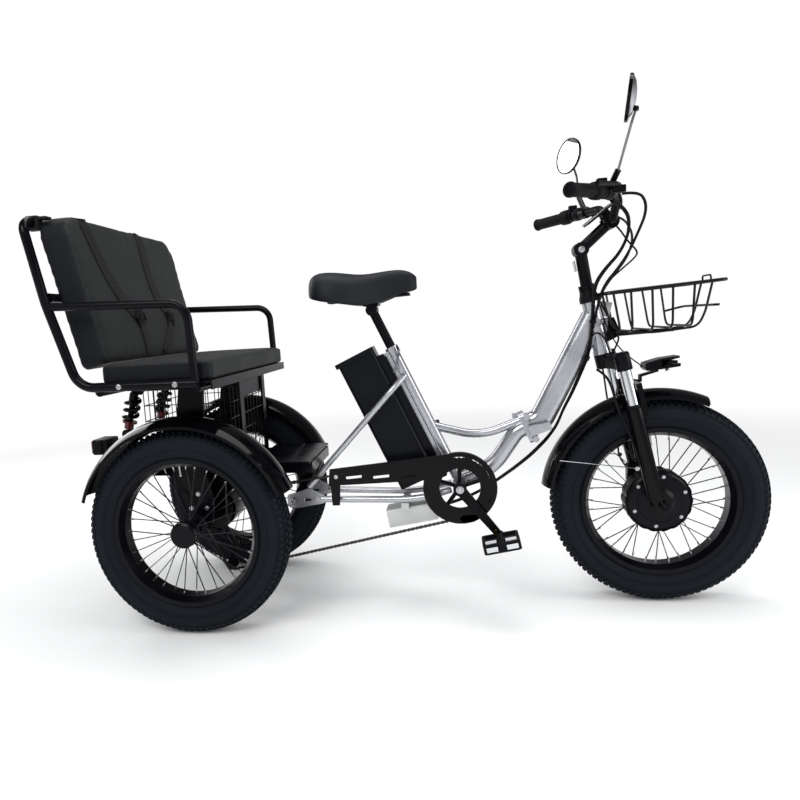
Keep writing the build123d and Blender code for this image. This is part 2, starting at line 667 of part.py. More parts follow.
def seat_sides():
    """Side tube from the seat rail up the back, and the armrest tube welded to it."""
    side = -SEAT_HALF
    route = [(106, side, 708), (-222, side, 710), (-291, side, 935), (-334, side, 1148),
             (-334, side + 60, 1148)]
    tube = sweep_tube(route, [60, 300, 34], SEAT_TUBE_FRAME_R)
    arm = sweep_tube([(-287, side, 924), (93, side, 910), (100, side, 712)], [48], ARM_R)
    frame = tube + arm
    return frame, mirror_y(frame)


def sweep_tube(route, radii, r):
    path = FilletPolyline(*route, radius=radii)
    return sweep(Plane(origin=path @ 0, z_dir=path % 0) * Circle(r), path=path)


def seat_base():
    """Seat pan with its front flange and the cross tubes that carry it."""
    pan = block((-188, 138), (-CUSHION_HALF, CUSHION_HALF), (SEAT_PAN_Z, SEAT_PAN_Z + SEAT_PAN_T))
    flange = block((133, 138), (-CUSHION_HALF, CUSHION_HALF), (690, SEAT_PAN_Z + 1))
    end = SEAT_HALF - SEAT_TUBE_FRAME_R - FIT
    r = SEAT_TUBE_FRAME_R
    tubes = [across(x, SEAT_PAN_Z - r + 1, r, -end, end) for x in (-172, 96)]
    base = pan + flange + tubes
    for side in (-1, 1):
        y0, y1 = sorted((side * (RAIL_Y - 18), side * (RAIL_Y - 12.3)))
        ear = side_plate([(-222, 660), (-190, 660), (-160, 690), (-160, 700), (-196, 709), (-222, 690)], y0, y1)
        base += ear
    return base


def seat_backs():
    """Cross tubes behind the back cushion."""
    low_end = SEAT_HALF - SEAT_TUBE_FRAME_R - FIT
    top = across(-334, 1148, SEAT_TUBE_FRAME_R, -SEAT_HALF + 60.3, SEAT_HALF - 60.3)
    middle = across(back_rear(948) - 14.2, 948, SEAT_TUBE_FRAME_R, -low_end, low_end)
    return top, middle


def back_rear(z):
    """X of the back cushion's rear face at height z."""
    return -228 - (z - 768) * (92.5 / 380)


def back_cushion():
    front = [(back_rear(768) + 70, 768), (-247, BACK_TOP)]
    outline = [(back_rear(768), 764.5), (back_rear(1150), 1150), (back_rear(BACK_TOP) + 12, BACK_TOP),
               (front[1][0] - 14, BACK_TOP), (front[1][0], BACK_TOP - 12), (front[0][0], 764.5)]
    pad = side_plate(outline, -BACK_HALF, BACK_HALF)
    plane = Plane(origin=(0, 0, (BACK_TOP + 764.5) / 2), x_dir=(0, 1, 0), z_dir=(1, 0, 0))
    front_view = Rectangle(2 * BACK_HALF, BACK_TOP - 764.5)
    front_view = fillet(front_view.vertices().group_by(Axis.Y)[-1], BACK_CORNER)
    return pad & extrude(plane * front_view, amount=-500)


def seat_cushion():
    low = SEAT_PAN_Z + SEAT_PAN_T + FIT
    pad = block(CUSHION_X, (-CUSHION_HALF, CUSHION_HALF), (low, low + CUSHION_T))
    return fillet(pad.edges().filter_by(Axis.Z), 24)


def seat_support():
    """Two upright flats before the rear basket, with a plate between them."""
    posts = block((124, 130), (-RAIL_Y - 15, -RAIL_Y + 15), (RAIL_Z + RAIL_S / 2 + FIT, SEAT_PAN_Z - FIT))
    plate = block((119, 124), (-RAIL_Y - 15, RAIL_Y + 15), (640, 686))
    return posts + mirror_y(posts) + plate


def tray(x, half, z0, height, wall=3.0):
    """An open box with thin walls."""
    outer = block(x, (-half, half), (z0, z0 + height))
    return outer - block((x[0] + wall, x[1] - wall), (wall - half, half - wall), (z0 + wall, z0 + height + 1))


def fender(x, y, r, half, start, end):
    """A rolled mudguard: a curved strip with turned-down lips."""
    drop = 20.0 * half / 62
    t = FENDER_T
    outline = [
        ThreePointArc((r - drop, -half), (r, 0), (r - drop, half)),
        Line((r - drop, half), (r - drop - 8, half)),
        Line((r - drop - 8, half), (r - drop - 8, half - t)),
        Line((r - drop - 8, half - t), (r - drop - 1, half - t)),
        ThreePointArc((r - drop - 1, half - t), (r - t, 0), (r - drop - 1, t - half)),
        Line((r - drop - 1, t - half), (r - drop - 8, t - half)),
        Line((r - drop - 8, t - half), (r - drop - 8, -half)),
        Line((r - drop - 8, -half), (r - drop, -half)),
    ]
    return turned(make_face(Wire(outline)), x, y, AXLE_Z, start, end - start)


def tail_light():
    x0 = LIGHT_REAR_X
    lamp = block((x0, x0 + LIGHT[0]), (-LIGHT[1] / 2, LIGHT[1] / 2), (LIGHT_Z - LIGHT[2] / 2, LIGHT_Z + LIGHT[2] / 2))
    return fillet(lamp.edges().filter_by(Axis.X), 9)


# Steered parts


def fork_crown():
    plane = steer_plane(CROWN_LOW, LEG_T / 2)
    crown = extrude(plane * RectangleRounded(LEG_T + 44, 2 * LEG_Y + 44, 20), amount=38)
    boss = Solid.make_cylinder(20, CROWN_HIGH - CROWN_LOW, steer_plane(CROWN_LOW))
    steerer = Solid.make_cylinder(STANCHION_R - 1, HEAD_TUBE_L + CUP_H - CROWN_HIGH, steer_plane(CROWN_HIGH))
    body = crown + boss + steerer
    for side in (-1, 1):
        body += rod(steer(LEG_T, side * LEG_Y, LOWER_TOP + FIT), steer(LEG_T, side * LEG_Y, CROWN_LOW + 4), STANCHION_R)
    return body


def fork_lowers():
    """Two sliders, the arch that joins them over the mudguard, and their dropouts."""
    body = None
    for side in (-1, 1):
        leg = rod(steer(LEG_T, side * LEG_Y, LOWER_TOP), steer(LEG_T, side * LEG_Y, -425), LOWER_R)
        y0, y1 = sorted((side * (LEG_Y - 15), side * (LEG_Y - 3)))
        a, b = steer(LEG_T - 16, 0, -400), steer(LEG_T + 14, 0, -400)
        c = (WHEELBASE + 16, 0, AXLE_Z - 12)
        tab = side_plate([(a[0], a[2]), (b[0], b[2]), (c[0], c[2] + 24), (c[0], c[2]), (c[0] - 34, c[2] - 6)], y0, y1)
        leg = leg + tab - across(WHEELBASE, AXLE_Z, AXLE_R + 0.15, y0 - 30, y1 + 30)
        body = leg if body is None else body + leg
    plane = steer_plane(LOWER_TOP - 20, LEG_T + 24)
    arch = extrude(plane * Rectangle(14, 2 * LEG_Y + 24), amount=84)
    gap = extrude(steer_plane(LOWER_TOP - 30, LEG_T + 24) * Rectangle(60, 2 * (LEG_Y - LOWER_R)), amount=62)
    clear = across(WHEELBASE, AXLE_Z, FRONT_FENDER_R + FIT, -59, 59)
    return body + (arch - gap - clear)


def front_axle():
    y = LEG_Y + 6
    nut_y = LEG_Y - 3 + FIT
    body = across(WHEELBASE, AXLE_Z, AXLE_R, -y - 6, y + 6)
    for side in (-1, 1):
        y0, y1 = sorted((side * nut_y, side * (nut_y + 9)))
        body += across(WHEELBASE, AXLE_Z, 13, y0, y1)
    return body


def stem():
    low = HEAD_TUBE_L + CUP_H + FIT
    body = Solid.make_cylinder(21, COLLAR_H, steer_plane(low))
    body += rod(steer(0, 0, low + 10), steer(STEM_PIVOT[0], 0, STEM_PIVOT[1]), 16)
    a = steer(*STEM_PIVOT[:1], 0, STEM_PIVOT[1])
    b = steer(BAR_CLAMP[0], 0, BAR_CLAMP[1])
    body += across(a[0], a[2], 20, -22, 22) + across(b[0], b[2], 20, -27, 27)
    body += rod(a, b, 15)
    return body - across(b[0], b[2], BAR_R + FIT, -30, 30)


BAR_ROUTE = [(98, 38, 335), (105, 104, 385), (55, 196, 397), (-41, 307, 411)]


def handlebar():
    points = [steer(t, -y, s) for t, y, s in reversed(BAR_ROUTE)] + [steer(t, y, s) for t, y, s in BAR_ROUTE]
    return sweep_tube(points, [90, 34, 34, 34, 34, 90], BAR_R)


def bar_point(back, side):
    """A point on the handlebar's outer run, measured back from its end."""
    inner, end = Vector(*steer(*BAR_ROUTE[2])), Vector(*steer(*BAR_ROUTE[3]))
    p = end + (inner - end).normalized() * back
    return (p.X, side * p.Y, p.Z)


def grips():
    return [rod(bar_point(-2, s), bar_point(GRIP_L, s), GRIP_R, BAR_R + FIT) for s in (-1, 1)]


def brake_levers():
    """Clamp, body and blade at each grip's inner end."""
    levers = []
    for side in (-1, 1):
        clamp = rod(bar_point(GRIP_L + 4, side), bar_point(GRIP_L - 12 + 24, side), 18, BAR_R + FIT)
        root = Vector(*steer(84, side * 200, 399))
        body = rod(steer(74, side * 192, 397), root + Vector(10, side * 4, 0), 9)
        blade = bent_tube([root, steer(84, side * 222, 402), steer(20, side * 304, 408)], 5.5)
        clamp = clamp + (body + blade - rod(bar_point(60, side), bar_point(180, side), BAR_R + FIT))
        levers.append(clamp)
    return levers


def display():
    foot = steer(BAR_CLAMP[0], 0, BAR_CLAMP[1] + 20 + FIT)
    plane = steer_plane(BAR_CLAMP[1] + 34, BAR_CLAMP[0] - 6)
    screen = extrude(plane * RectangleRounded(62, 74, 8), amount=12)
    post = block((foot[0] - 10, foot[0] + 8), (-12, 12), (foot[2] - 6, foot[2] + 18))
    b = steer(BAR_CLAMP[0], 0, BAR_CLAMP[1])
    return screen + (post - across(b[0], b[2], 20 + FIT, -30, 30))


MIRRORS = [
    # side, head centre (x, y, z), facing (x, y)
    (-1, (WHEELBASE - 130, -250, 1316), (-0.97, 0.23)),
    (1, (WHEELBASE - 179, 250, 1299), (-0.87, -0.49)),
]


def mirrors():
    heads = []
    for side, centre, facing in MIRRORS:
        c = Vector(*centre)
        n = Vector(facing[0], facing[1], 0).normalized()
        head = Solid.make_cylinder(MIRROR_R, MIRROR_T, Plane(origin=c - n * MIRROR_T / 2, z_dir=n))
        foot = Vector(*steer(74, side * 165, 392.5))
        up = Vector(*steer(76, side * 172, 440))
        root = c - n * (MIRROR_T / 2 + 6) - Vector(0, 0, 24)
        stalk = bent_tube([foot + Vector(0, 0, 8), up, root - Vector(0, 0, 60), root], 4)
        pad = Solid.make_cylinder(12, 10, Plane(origin=root + Vector(0, 0, -4) + n * 8, z_dir=n * -1))
        clamp = rod(bar_back(150, side), bar_back(172, side), 17, BAR_R + FIT)
        bar = rod(bar_back(130, side), bar_back(190, side), BAR_R + FIT)
        heads.append(head + (stalk - bar) + pad + clamp)
    return heads


def bar_back(back, side):
    return bar_point(back, side) if back < GRIP_L else bar_inner(back - GRIP_L, side)


def bar_inner(f, side):
    """A point on the bar's middle run, f millimetres in from the grip's end."""
    a, b = Vector(*steer(*BAR_ROUTE[2])), Vector(*steer(*BAR_ROUTE[1]))
    p = a + (b - a).normalized() * f
    return (p.X, side * p.Y, p.Z)


def headlight():
    tip = steer(LEG_T / 2 + 36, 0, CROWN_LOW + 24)
    x, z = WHEELBASE - 30, 676
    strip = side_plate([(tip[0], tip[2] - 8), (tip[0], tip[2] + 4), (x + 22, z - 20), (x + 28, z - 15),
                        (x + 34, z - 15), (x + 28, z - 28)], -14, 14)
    shell = rod((x, 0, z), (x + 78, 0, z), 17)
    hood = block((x, x + 86), (-27, 27), (z - 16, z + 16))
    hood = fillet(hood.edges().filter_by(Axis.X), 12)
    return strip + shell + hood - fork_crown()


def brake_caliper():
    x, z = WHEELBASE - 46, AXLE_Z + 66
    body = block((x - 20, x + 20), (DISC_Y - 9, LEG_Y - LOWER_R + 8), (z - 24, z + 24))
    slot = across(WHEELBASE, AXLE_Z, DISC_R + 4, DISC_Y - 3, DISC_Y + 3)
    leg = rod(steer(LEG_T, LEG_Y, -180), steer(LEG_T, LEG_Y, -425), LOWER_R + FIT)
    wheel = across(WHEELBASE, AXLE_Z, MOTOR_R + 6, DISC_Y - 14, DISC_Y - 5)
    return body - slot - leg - wheel


def wire_basket():
    """Tubular wire basket ahead of the head tube: rim, ribs across and ribs along."""
    rim_x, rim_z, rim_half = (WHEELBASE - 142, WHEELBASE + 144), (876.0, 890.0), 145.0
    low_x, low_z, low_half = (WHEELBASE - 96, WHEELBASE + 72), (771.5, 774.0), 108.0

    def at(span, f):
        return span[0] + f * (span[1] - span[0])

    ring = [(rim_x[0], -rim_half, rim_z[0]), (rim_x[1], -rim_half, rim_z[1]), (rim_x[1], rim_half, rim_z[1]),
            (rim_x[0], rim_half, rim_z[0])]
    body = None
    for i in range(4):
        tube = rod(ring[i], ring[(i + 1) % 4], 4.5) + Pos(*ring[i]) * Sphere(4.5)
        body = tube if body is None else body + tube
    for f in (0.0, 0.33, 0.67, 1.0):
        top, low = (at(rim_x, f), at(rim_z, f)), (at(low_x, f), at(low_z, f))
        body += bent_tube([(top[0], -rim_half, top[1]), (low[0], -low_half, low[1]), (low[0], low_half, low[1]),
                           (top[0], rim_half, top[1])], 3, most=26)
    for y in (-0.5, 0.0, 0.5):
        body += bent_tube([(rim_x[0], y * rim_half * 2 * 0.9, rim_z[0]), (low_x[0], y * low_half * 2 * 0.9, low_z[0]),
                           (low_x[1], y * low_half * 2 * 0.9, low_z[1]), (rim_x[1], y * rim_half * 2 * 0.9, rim_z[1])],
                          3, most=26)
    return body


def brake_disc():
    """A vented disc on its carrier against the motor's left cover."""
    y0, y1 = DISC_Y - DISC_T / 2, DISC_Y + DISC_T / 2
    disc = across(WHEELBASE, AXLE_Z, DISC_R, y0, y1, 24)
    for i in range(DISC_HOLES):
        a = 2 * pi * i / DISC_HOLES
        x, z = WHEELBASE + (DISC_R - 12) * cos(a), AXLE_Z + (DISC_R - 12) * sin(a)
        disc -= across(x, z, 5, y0 - 1, y1 + 1)
    return disc + across(WHEELBASE, AXLE_Z, 29, MOTOR_W / 2 + FIT, y1, 12)


# Cables, each a tube of straight runs and arcs
CABLE_R = 4.0
CABLES = {
    "cable_bars": [(1146, -150, 1101), (1190, -118, 1084), (1206, -82, 1034), (1190, -52, 980), (1152, -38, 938),
                   (1128, -34, 901)],
    "cable_front": [(1127, -33, 898), (1123, -34, 850), (1120, -34, 795), (1116, -33, 745), (1105, -29, 700),
                    (1084, -19, 646), (1065, -6, 598), (1041.5, 0, 552), (1026, 0, 512), (1002, 0, 478)],
    "cable_rear": [(986, 0, 460), (950, 0, 424), (905, 0, 388), (860, 0, 356), (814, 0, 325), (768, 0, 303),
                   (722, 0, 286), (675.4, 0, 274)],
}

# Build every sub-part
frame_tube = seat_tube()
low_tube = lower_tube([frame_tube])
write("seat_tube", frame_tube)
write("lower_tube", low_tube)
write("upper_tube", upper_tube([frame_tube, low_tube]))
write("front_frame", front_frame())
write("fold_latch", fold_latch())
write("seat_stays", *seat_stays([frame_tube]))
write("chain_stays", *chain_stays([frame_tube, *seat_stays([frame_tube])]))
write("seat_post", seat_post())
write("saddle", saddle())
write("battery", battery())
write("controller_box", controller_box())
write("crank_set", crank_set())
write("pedal_right", pedal(-1))
write("pedal_left", pedal(1))
write("chain", chain())
write("chain_guard", chain_guard())
cogs, derailleur = rear_gears()
write("cassette", cogs)
write("derailleur", derailleur)
write("axle_housing", axle_housing())
rails = carriage_rails()
write("carriage_rails", *rails)
write("carriage_cross", *carriage_cross([]))
write("axle_hangers", *hanger_plates())
write("side_struts", *side_struts())
write("shocks", *shocks())
write("seat_sides", *seat_sides())
write("seat_base", seat_base())
write("seat_backs", *seat_backs())
write("seat_cushion", seat_cushion())
write("back_cushion", back_cushion())
write("seat_support", seat_support())
write("rear_basket", tray(*BASKET_REAR[:2], RAIL_Z + RAIL_S / 2 + FIT, BASKET_REAR[2]))
write("footboard", block((150, 326), (-150, 150), (RAIL_Z + RAIL_S / 2 + FIT, RAIL_Z + RAIL_S / 2 + 7)))
write("tail_light", tail_light())
write("rear_fenders", *[fender(0, side * REAR_TRACK / 2, FENDER_R, FENDER_HALF, 21, 161) for side in (-1, 1)])
write("front_fender", fender(WHEELBASE, 0, FRONT_FENDER_R, FRONT_FENDER_HALF, 66, 171))
write("fork_crown", fork_crown())
write("fork_lowers", fork_lowers())
write("front_axle", front_axle())
write("headlight", headlight())
write("stem", stem())
write("handlebar", handlebar())
write("grips", *grips())
write("brake_levers", *brake_levers())
write("display", display())
write("mirrors", *mirrors())
write("brake_caliper", brake_caliper())
write("front_basket", wire_basket())
for name, route in CABLES.items():
    write(name, bent_tube(route, CABLE_R))
write("tyre_front", tyre(WHEELBASE, 0))
write("wheel_front", laced_wheel(WHEELBASE, 0, motor_hub(WHEELBASE, 0), MOTOR_R - 3, 22))
write("brake_disc", brake_disc())
for name, side in (("right", -1), ("left", 1)):
    y = side * REAR_TRACK / 2
    write(f"tyre_rear_{name}", tyre(0, y))
    write(f"wheel_rear_{name}", laced_wheel(0, y, rear_hub(0, y), 34, 31))
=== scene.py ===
"""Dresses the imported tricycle: finishes, soft seats, tyre tread, cables and small fittings."""
from math import atan2, cos, hypot, pi, radians, sin

import bmesh
import bpy
import numpy as np
from mathutils import Matrix, Vector
from mathutils.bvhtree import BVHTree


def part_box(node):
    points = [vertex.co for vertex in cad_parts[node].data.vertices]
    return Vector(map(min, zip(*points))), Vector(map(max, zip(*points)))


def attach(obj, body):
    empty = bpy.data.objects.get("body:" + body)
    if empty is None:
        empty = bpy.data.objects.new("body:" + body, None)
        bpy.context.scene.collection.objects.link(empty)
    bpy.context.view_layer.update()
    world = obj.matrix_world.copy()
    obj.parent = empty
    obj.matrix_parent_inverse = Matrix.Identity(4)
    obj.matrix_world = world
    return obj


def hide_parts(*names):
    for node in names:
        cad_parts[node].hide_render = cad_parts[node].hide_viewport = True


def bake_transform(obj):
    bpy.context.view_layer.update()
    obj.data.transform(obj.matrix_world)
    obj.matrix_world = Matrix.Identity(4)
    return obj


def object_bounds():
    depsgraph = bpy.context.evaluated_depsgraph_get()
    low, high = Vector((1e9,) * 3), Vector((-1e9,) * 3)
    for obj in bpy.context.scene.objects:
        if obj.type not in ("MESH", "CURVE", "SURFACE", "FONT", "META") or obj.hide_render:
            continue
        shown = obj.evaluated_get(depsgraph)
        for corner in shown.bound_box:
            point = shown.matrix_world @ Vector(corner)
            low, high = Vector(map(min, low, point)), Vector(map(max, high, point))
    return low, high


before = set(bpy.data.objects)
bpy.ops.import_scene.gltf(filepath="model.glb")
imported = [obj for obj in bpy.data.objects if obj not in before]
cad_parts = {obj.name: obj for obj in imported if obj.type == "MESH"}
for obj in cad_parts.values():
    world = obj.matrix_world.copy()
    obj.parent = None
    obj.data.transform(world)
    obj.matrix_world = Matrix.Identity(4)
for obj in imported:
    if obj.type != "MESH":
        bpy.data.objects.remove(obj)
cad_low, cad_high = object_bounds()

MM = 0.001
TURN = 2 * pi
UP, LEFT = Vector((0, 0, 1)), Vector((0, 1, 0))
rear_low, rear_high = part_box("tyre_rear_right")
front_low, front_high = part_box("tyre_front")
AXLE_X = (rear_low.x + rear_high.x) / 2
AXLE_Z = (rear_low.z + rear_high.z) / 2
FRONT_X = (front_low.x + front_high.x) / 2
TYRE_R = (rear_high.z - rear_low.z) / 2
TRACK_HALF = -(rear_low.y + rear_high.y) / 2
# name, body, the middle of its axle
WHEELS = (
    ("front", "front_wheel", Vector((FRONT_X, 0, AXLE_Z))),
    ("rear_right", "rear_wheel_right", Vector((AXLE_X, -TRACK_HALF, AXLE_Z))),
    ("rear_left", "rear_wheel_left", Vector((AXLE_X, TRACK_HALF, AXLE_Z))),
)
HUB = WHEELS[0][2]

HEAD_ANGLE = radians(77.7)
STEER_FOOT = (1150.0, 718.0)
CRANK_X, CRANK_Z = 746.0, 352.0
CRANK_END_Y = 111.0
SEAT_TUBE_TOP = (562.0, 759.0)


def at(x, y, z):
    """A point given in millimetres forward of the rear axle, left of the middle and above the floor."""
    return Vector((AXLE_X + x * MM, y * MM, z * MM))


def steer(t, y, s):
    """A place in millimetres along the steering axis: t forward of it, s up from the head tube's foot."""
    return Vector((STEER_FOOT[0] + t * sin(HEAD_ANGLE) - s * cos(HEAD_ANGLE), y,
                   STEER_FOOT[1] + t * cos(HEAD_ANGLE) + s * sin(HEAD_ANGLE)))


def put(name, data):
    """A new object in the scene."""
    obj = bpy.data.objects.new(name, data)
    bpy.context.scene.collection.objects.link(obj)
    return obj


def from_bmesh(name, bm, material):
    mesh = bpy.data.meshes.new(name)
    bm.to_mesh(mesh)
    bm.free()
    mesh.materials.append(material)
    return put(name, mesh)


# Camera, fitted to the photograph's 800 pixel frame

IMAGE_PX = 800.0
FOCAL_PX = 677.9993
CENTRE_PX = (330.3508, 411.2249)
CAMERA_AT = (746.0, -2007.1, 832.3)
CAMERA_YAW, CAMERA_PITCH, CAMERA_ROLL = 0.1861, 0.1253, -0.0614
SENSOR_MM = 36.0


def make_camera():
    level = Vector((-sin(CAMERA_YAW), cos(CAMERA_YAW), 0))
    right = Vector((cos(CAMERA_YAW), sin(CAMERA_YAW), 0))
    ahead = level * cos(CAMERA_PITCH) - UP * sin(CAMERA_PITCH)
    top = UP * cos(CAMERA_PITCH) + level * sin(CAMERA_PITCH)
    right, top = (right * cos(CAMERA_ROLL) + top * sin(CAMERA_ROLL),
                  top * cos(CAMERA_ROLL) - right * sin(CAMERA_ROLL))
    data = bpy.data.cameras.new("camera")
    data.sensor_width = SENSOR_MM
    data.lens = FOCAL_PX / IMAGE_PX * SENSOR_MM
    data.shift_x = (IMAGE_PX / 2 - CENTRE_PX[0]) / IMAGE_PX
    data.shift_y = (CENTRE_PX[1] - IMAGE_PX / 2) / IMAGE_PX
    camera = put("camera", data)
    camera.matrix_world = Matrix.LocRotScale(at(*CAMERA_AT), Matrix((right, top, -ahead)).transposed(), None)
    bpy.context.scene.camera = camera


# Light, backdrop and floor

AMBIENT = 0.55
GLOSS_LOW, GLOSS_HIGH = 1.0, 0.16
GLOSS_TOP = 0.34
FLOOR_R = 14.0
FLOOR_GAP = 0.0005
FADE_FROM, FADE_TO = 1.6, 4.5
# name, place, aim, width, height, watts
LAMPS = (
    ("lamp_key", (-400, -2600, 2900), (500, 0, 500), 2.2, 1.4, 62),
    ("lamp_top", (700, 300, 3300), (600, 0, 400), 3.2, 1.2, 52),
    ("lamp_front", (3400, -900, 1500), (900, 0, 500), 1.4, 2.0, 34),
    ("lamp_back", (-2300, 1900, 1900), (0, 0, 600), 1.6, 2.0, 34),
)


class Graph:
    """The shader nodes of a material or of the world."""

    def __init__(self, owner):
        owner.use_nodes = True
        self.nodes, self.links = owner.node_tree.nodes, owner.node_tree.links

    def feed(self, node, feeds):
        """Gives each named input a value, or the output of another node."""
        for key, value in feeds.items():
            if isinstance(value, bpy.types.NodeSocket):
                self.links.new(value, node.inputs[key])
            else:
                node.inputs[key].default_value = value

    def add(self, kind, feeds=None, **settings):
        node = self.nodes.new("ShaderNode" + kind)
        for key, value in settings.items():
            setattr(node, key, value)
        self.feed(node, feeds or {})
        return node

    def coords(self, kind="Object"):
        return self.add("TexCoord").outputs[kind]

    def math(self, operation, *values):
        return self.add("Math", dict(enumerate(values)), operation=operation).outputs[0]

    def vector(self, operation, *values):
        node = self.add("VectorMath", dict(enumerate(values)), operation=operation)
        return node.outputs["Value" if operation == "LENGTH" else "Vector"]

    def ramp(self, value, from_low, from_high, to_low=0.0, to_high=1.0):
        """A value carried from one range over to another."""
        return self.add("MapRange", {"Value": value, "From Min": from_low, "From Max": from_high,
                                     "To Min": to_low, "To Max": to_high}).outputs["Result"]

    def mix(self, share, first, second):
        return self.add("MixShader", {"Fac": share, 1: first.outputs[0], 2: second.outputs[0]})

    def relief(self, height, strength, depth):
        bump = self.add("Bump", {"Height": height, "Strength": strength, "Distance": depth})
        self.feed(self.nodes["Principled BSDF"], {"Normal": bump.outputs["Normal"]})

    def show(self, node):
        self.feed(self.nodes["Material Output"], {"Surface": node.outputs[0]})


def make_world():
    world = bpy.data.worlds.new("studio")
    bpy.context.scene.world = world
    graph = Graph(world)
    graph.nodes.clear()
    path = graph.add("LightPath").outputs
    height = graph.add("SeparateXYZ", {0: graph.coords("Generated")}).outputs["Z"]
    ramp = graph.ramp(height, 0.0, GLOSS_TOP, GLOSS_LOW, GLOSS_HIGH)
    ambient = graph.add("Background", {"Color": (0.96, 0.98, 1.0, 1), "Strength": AMBIENT})
    gloss = graph.add("Background", {"Color": (0.97, 0.985, 1.0, 1), "Strength": ramp})
    white = graph.add("Background", {"Color": (1, 1, 1, 1)})
    seen = graph.math("MAXIMUM", path["Is Camera Ray"], path["Is Transmission Ray"])
    lit = graph.mix(path["Is Glossy Ray"], ambient, gloss)
    graph.add("OutputWorld", {"Surface": graph.mix(seen, lit, white).outputs[0]})


def make_lamps():
    for name, place, target, width, height, watts in LAMPS:
        data = bpy.data.lights.new(name, "AREA")
        data.shape = "RECTANGLE"
        data.size, data.size_y = width, height
        data.energy = watts
        lamp = put(name, data)
        lamp.location = at(*place)
        lamp.rotation_mode = "QUATERNION"
        lamp.rotation_quaternion = (at(*target) - at(*place)).to_track_quat("-Z", "Y")


def make_floor():
    """A pale disc that fades to white with distance, so that it has no edge."""
    material = bpy.data.materials.new("floor_paper")
    graph = Graph(material)
    paper = graph.nodes["Principled BSDF"]
    graph.feed(paper, {"Base Color": (0.9, 0.9, 0.9, 1), "Roughness": 0.9, "Specular IOR Level": 0.1})
    fade = graph.ramp(graph.vector("LENGTH", graph.coords()), FADE_FROM, FADE_TO)
    share = graph.math("MULTIPLY", fade, graph.add("LightPath").outputs["Is Camera Ray"])
    graph.show(graph.mix(share, paper, graph.add("Emission", {"Strength": 1.0})))
    bm = bmesh.new()
    bmesh.ops.create_circle(bm, cap_ends=True, segments=96, radius=FLOOR_R)
    floor = from_bmesh("floor", bm, material)
    floor.location = (0, 0, cad_low.z - FLOOR_GAP)


# Materials

GRAIN_DEPTH, WEAVE_DEPTH = 0.0002, 0.0004
RIM_INNER = 186.0
SPOKE_TONE = (0.030, 0.030, 0.034, 1)


def finish(name, dark, light, rough, metal=0.0, coat=0.0, grain=400.0, bump=0.05, sheen=0.0, specular=0.5,
           patch=9.0, rough_spread=0.08):
    """A surface that drifts between two tones, given in thousandths, with a fine grain in its bump."""
    material = bpy.data.materials.new(name)
    graph = Graph(material)
    coords = graph.coords()
    drift = graph.add("TexNoise", {"Vector": coords, "Scale": patch, "Detail": 4.0}).outputs["Fac"]
    tone = graph.add("ValToRGB", {"Fac": drift})
    for element, place, colour in zip(tone.color_ramp.elements, (0.35, 0.68), (dark, light)):
        element.position = place
        element.color = (*[c / 1000 for c in colour], 1)
    spread = graph.ramp(drift, 0.3, 0.7, max(0.02, rough - rough_spread), min(1.0, rough + rough_spread))
    graph.feed(graph.nodes["Principled BSDF"], {
        "Base Color": tone.outputs["Color"], "Roughness": spread, "Metallic": metal, "Coat Weight": coat,
        "Coat Roughness": 0.06, "Sheen Weight": sheen, "Sheen Roughness": 0.5, "Specular IOR Level": specular})
    if bump:
        fine = graph.add("TexNoise", {"Vector": coords, "Scale": grain, "Detail": 3.0}).outputs["Fac"]
        graph.relief(fine, bump, GRAIN_DEPTH)
    return material


def wheel_paint(name, hub_x, hub_r):
    """Black rim and hub with dark steel spokes between them, told apart by distance from the axle."""
    material = finish(name, (1.8, 2.0, 3.2), (3.2, 3.5, 5.2), 0.24, specular=0.12, bump=0.03)
    graph = Graph(material)
    spoke = graph.add("BsdfPrincipled", {"Base Color": SPOKE_TONE, "Metallic": 1.0, "Roughness": 0.3})
    shift = graph.vector("SUBTRACT", graph.coords(), (hub_x, 0, AXLE_Z))
    radius = graph.vector("LENGTH", graph.vector("MULTIPLY", shift, (1, 0, 1)))
    both = graph.math("MULTIPLY", graph.math("GREATER_THAN", radius, hub_r * MM),
                      graph.math("LESS_THAN", radius, RIM_INNER * MM))
    graph.show(graph.mix(both, graph.nodes["Principled BSDF"], spoke))
    return material


def woven(name, dark, light, pitch, rough, sheen=0.0, strength=0.35):
    """Woven or embossed cloth: crossed waves in the bump over a drifting tone."""
    material = finish(name, dark, light, rough, bump=0, sheen=sheen, specular=0.2, patch=6.0)
    graph = Graph(material)
    feeds = {"Vector": graph.coords(), "Scale": 1 / (pitch * 6.4), "Distortion": 0.6, "Detail": 1.0}
    waves = [graph.add("TexWave", feeds, bands_direction=axis).outputs["Fac"] for axis in "XYZ"]
    graph.relief(graph.math("MULTIPLY_ADD", *waves), strength, WEAVE_DEPTH)
    return material


SILVER = finish("silver_paint", (430, 435, 465), (500, 505, 535), 0.30, metal=0.85, coat=0.3, grain=1400,
                bump=0.006)
STEEL_BLACK = finish("powder_coat", (1.6, 1.8, 3), (3, 3.3, 4.8), 0.22, grain=900, bump=0.06, specular=0.11)
ALLOY_BLACK = finish("black_alloy_paint", (2.2, 2.3, 3.4), (4, 4.2, 5.5), 0.32, grain=1100, bump=0.08,
                     specular=0.09)
GLOSS = finish("gloss_black_paint", (1.2, 1.2, 1.8), (2.2, 2.2, 3), 0.10, grain=60, bump=0.015, specular=0.13,
               rough_spread=0.03)
MATTE = finish("matte_moulding", (3.4, 3.5, 4.4), (6.2, 6.3, 7.5), 0.5, grain=1600, bump=0.25, specular=0.08)
BATTERY = finish("battery_case", (2.2, 2.6, 4.2), (4, 4.7, 7), 0.30, grain=700, bump=0.06, specular=0.12)
STEEL = finish("bright_steel", (420, 420, 430), (560, 560, 570), 0.26, metal=1.0, grain=300, bump=0.04)
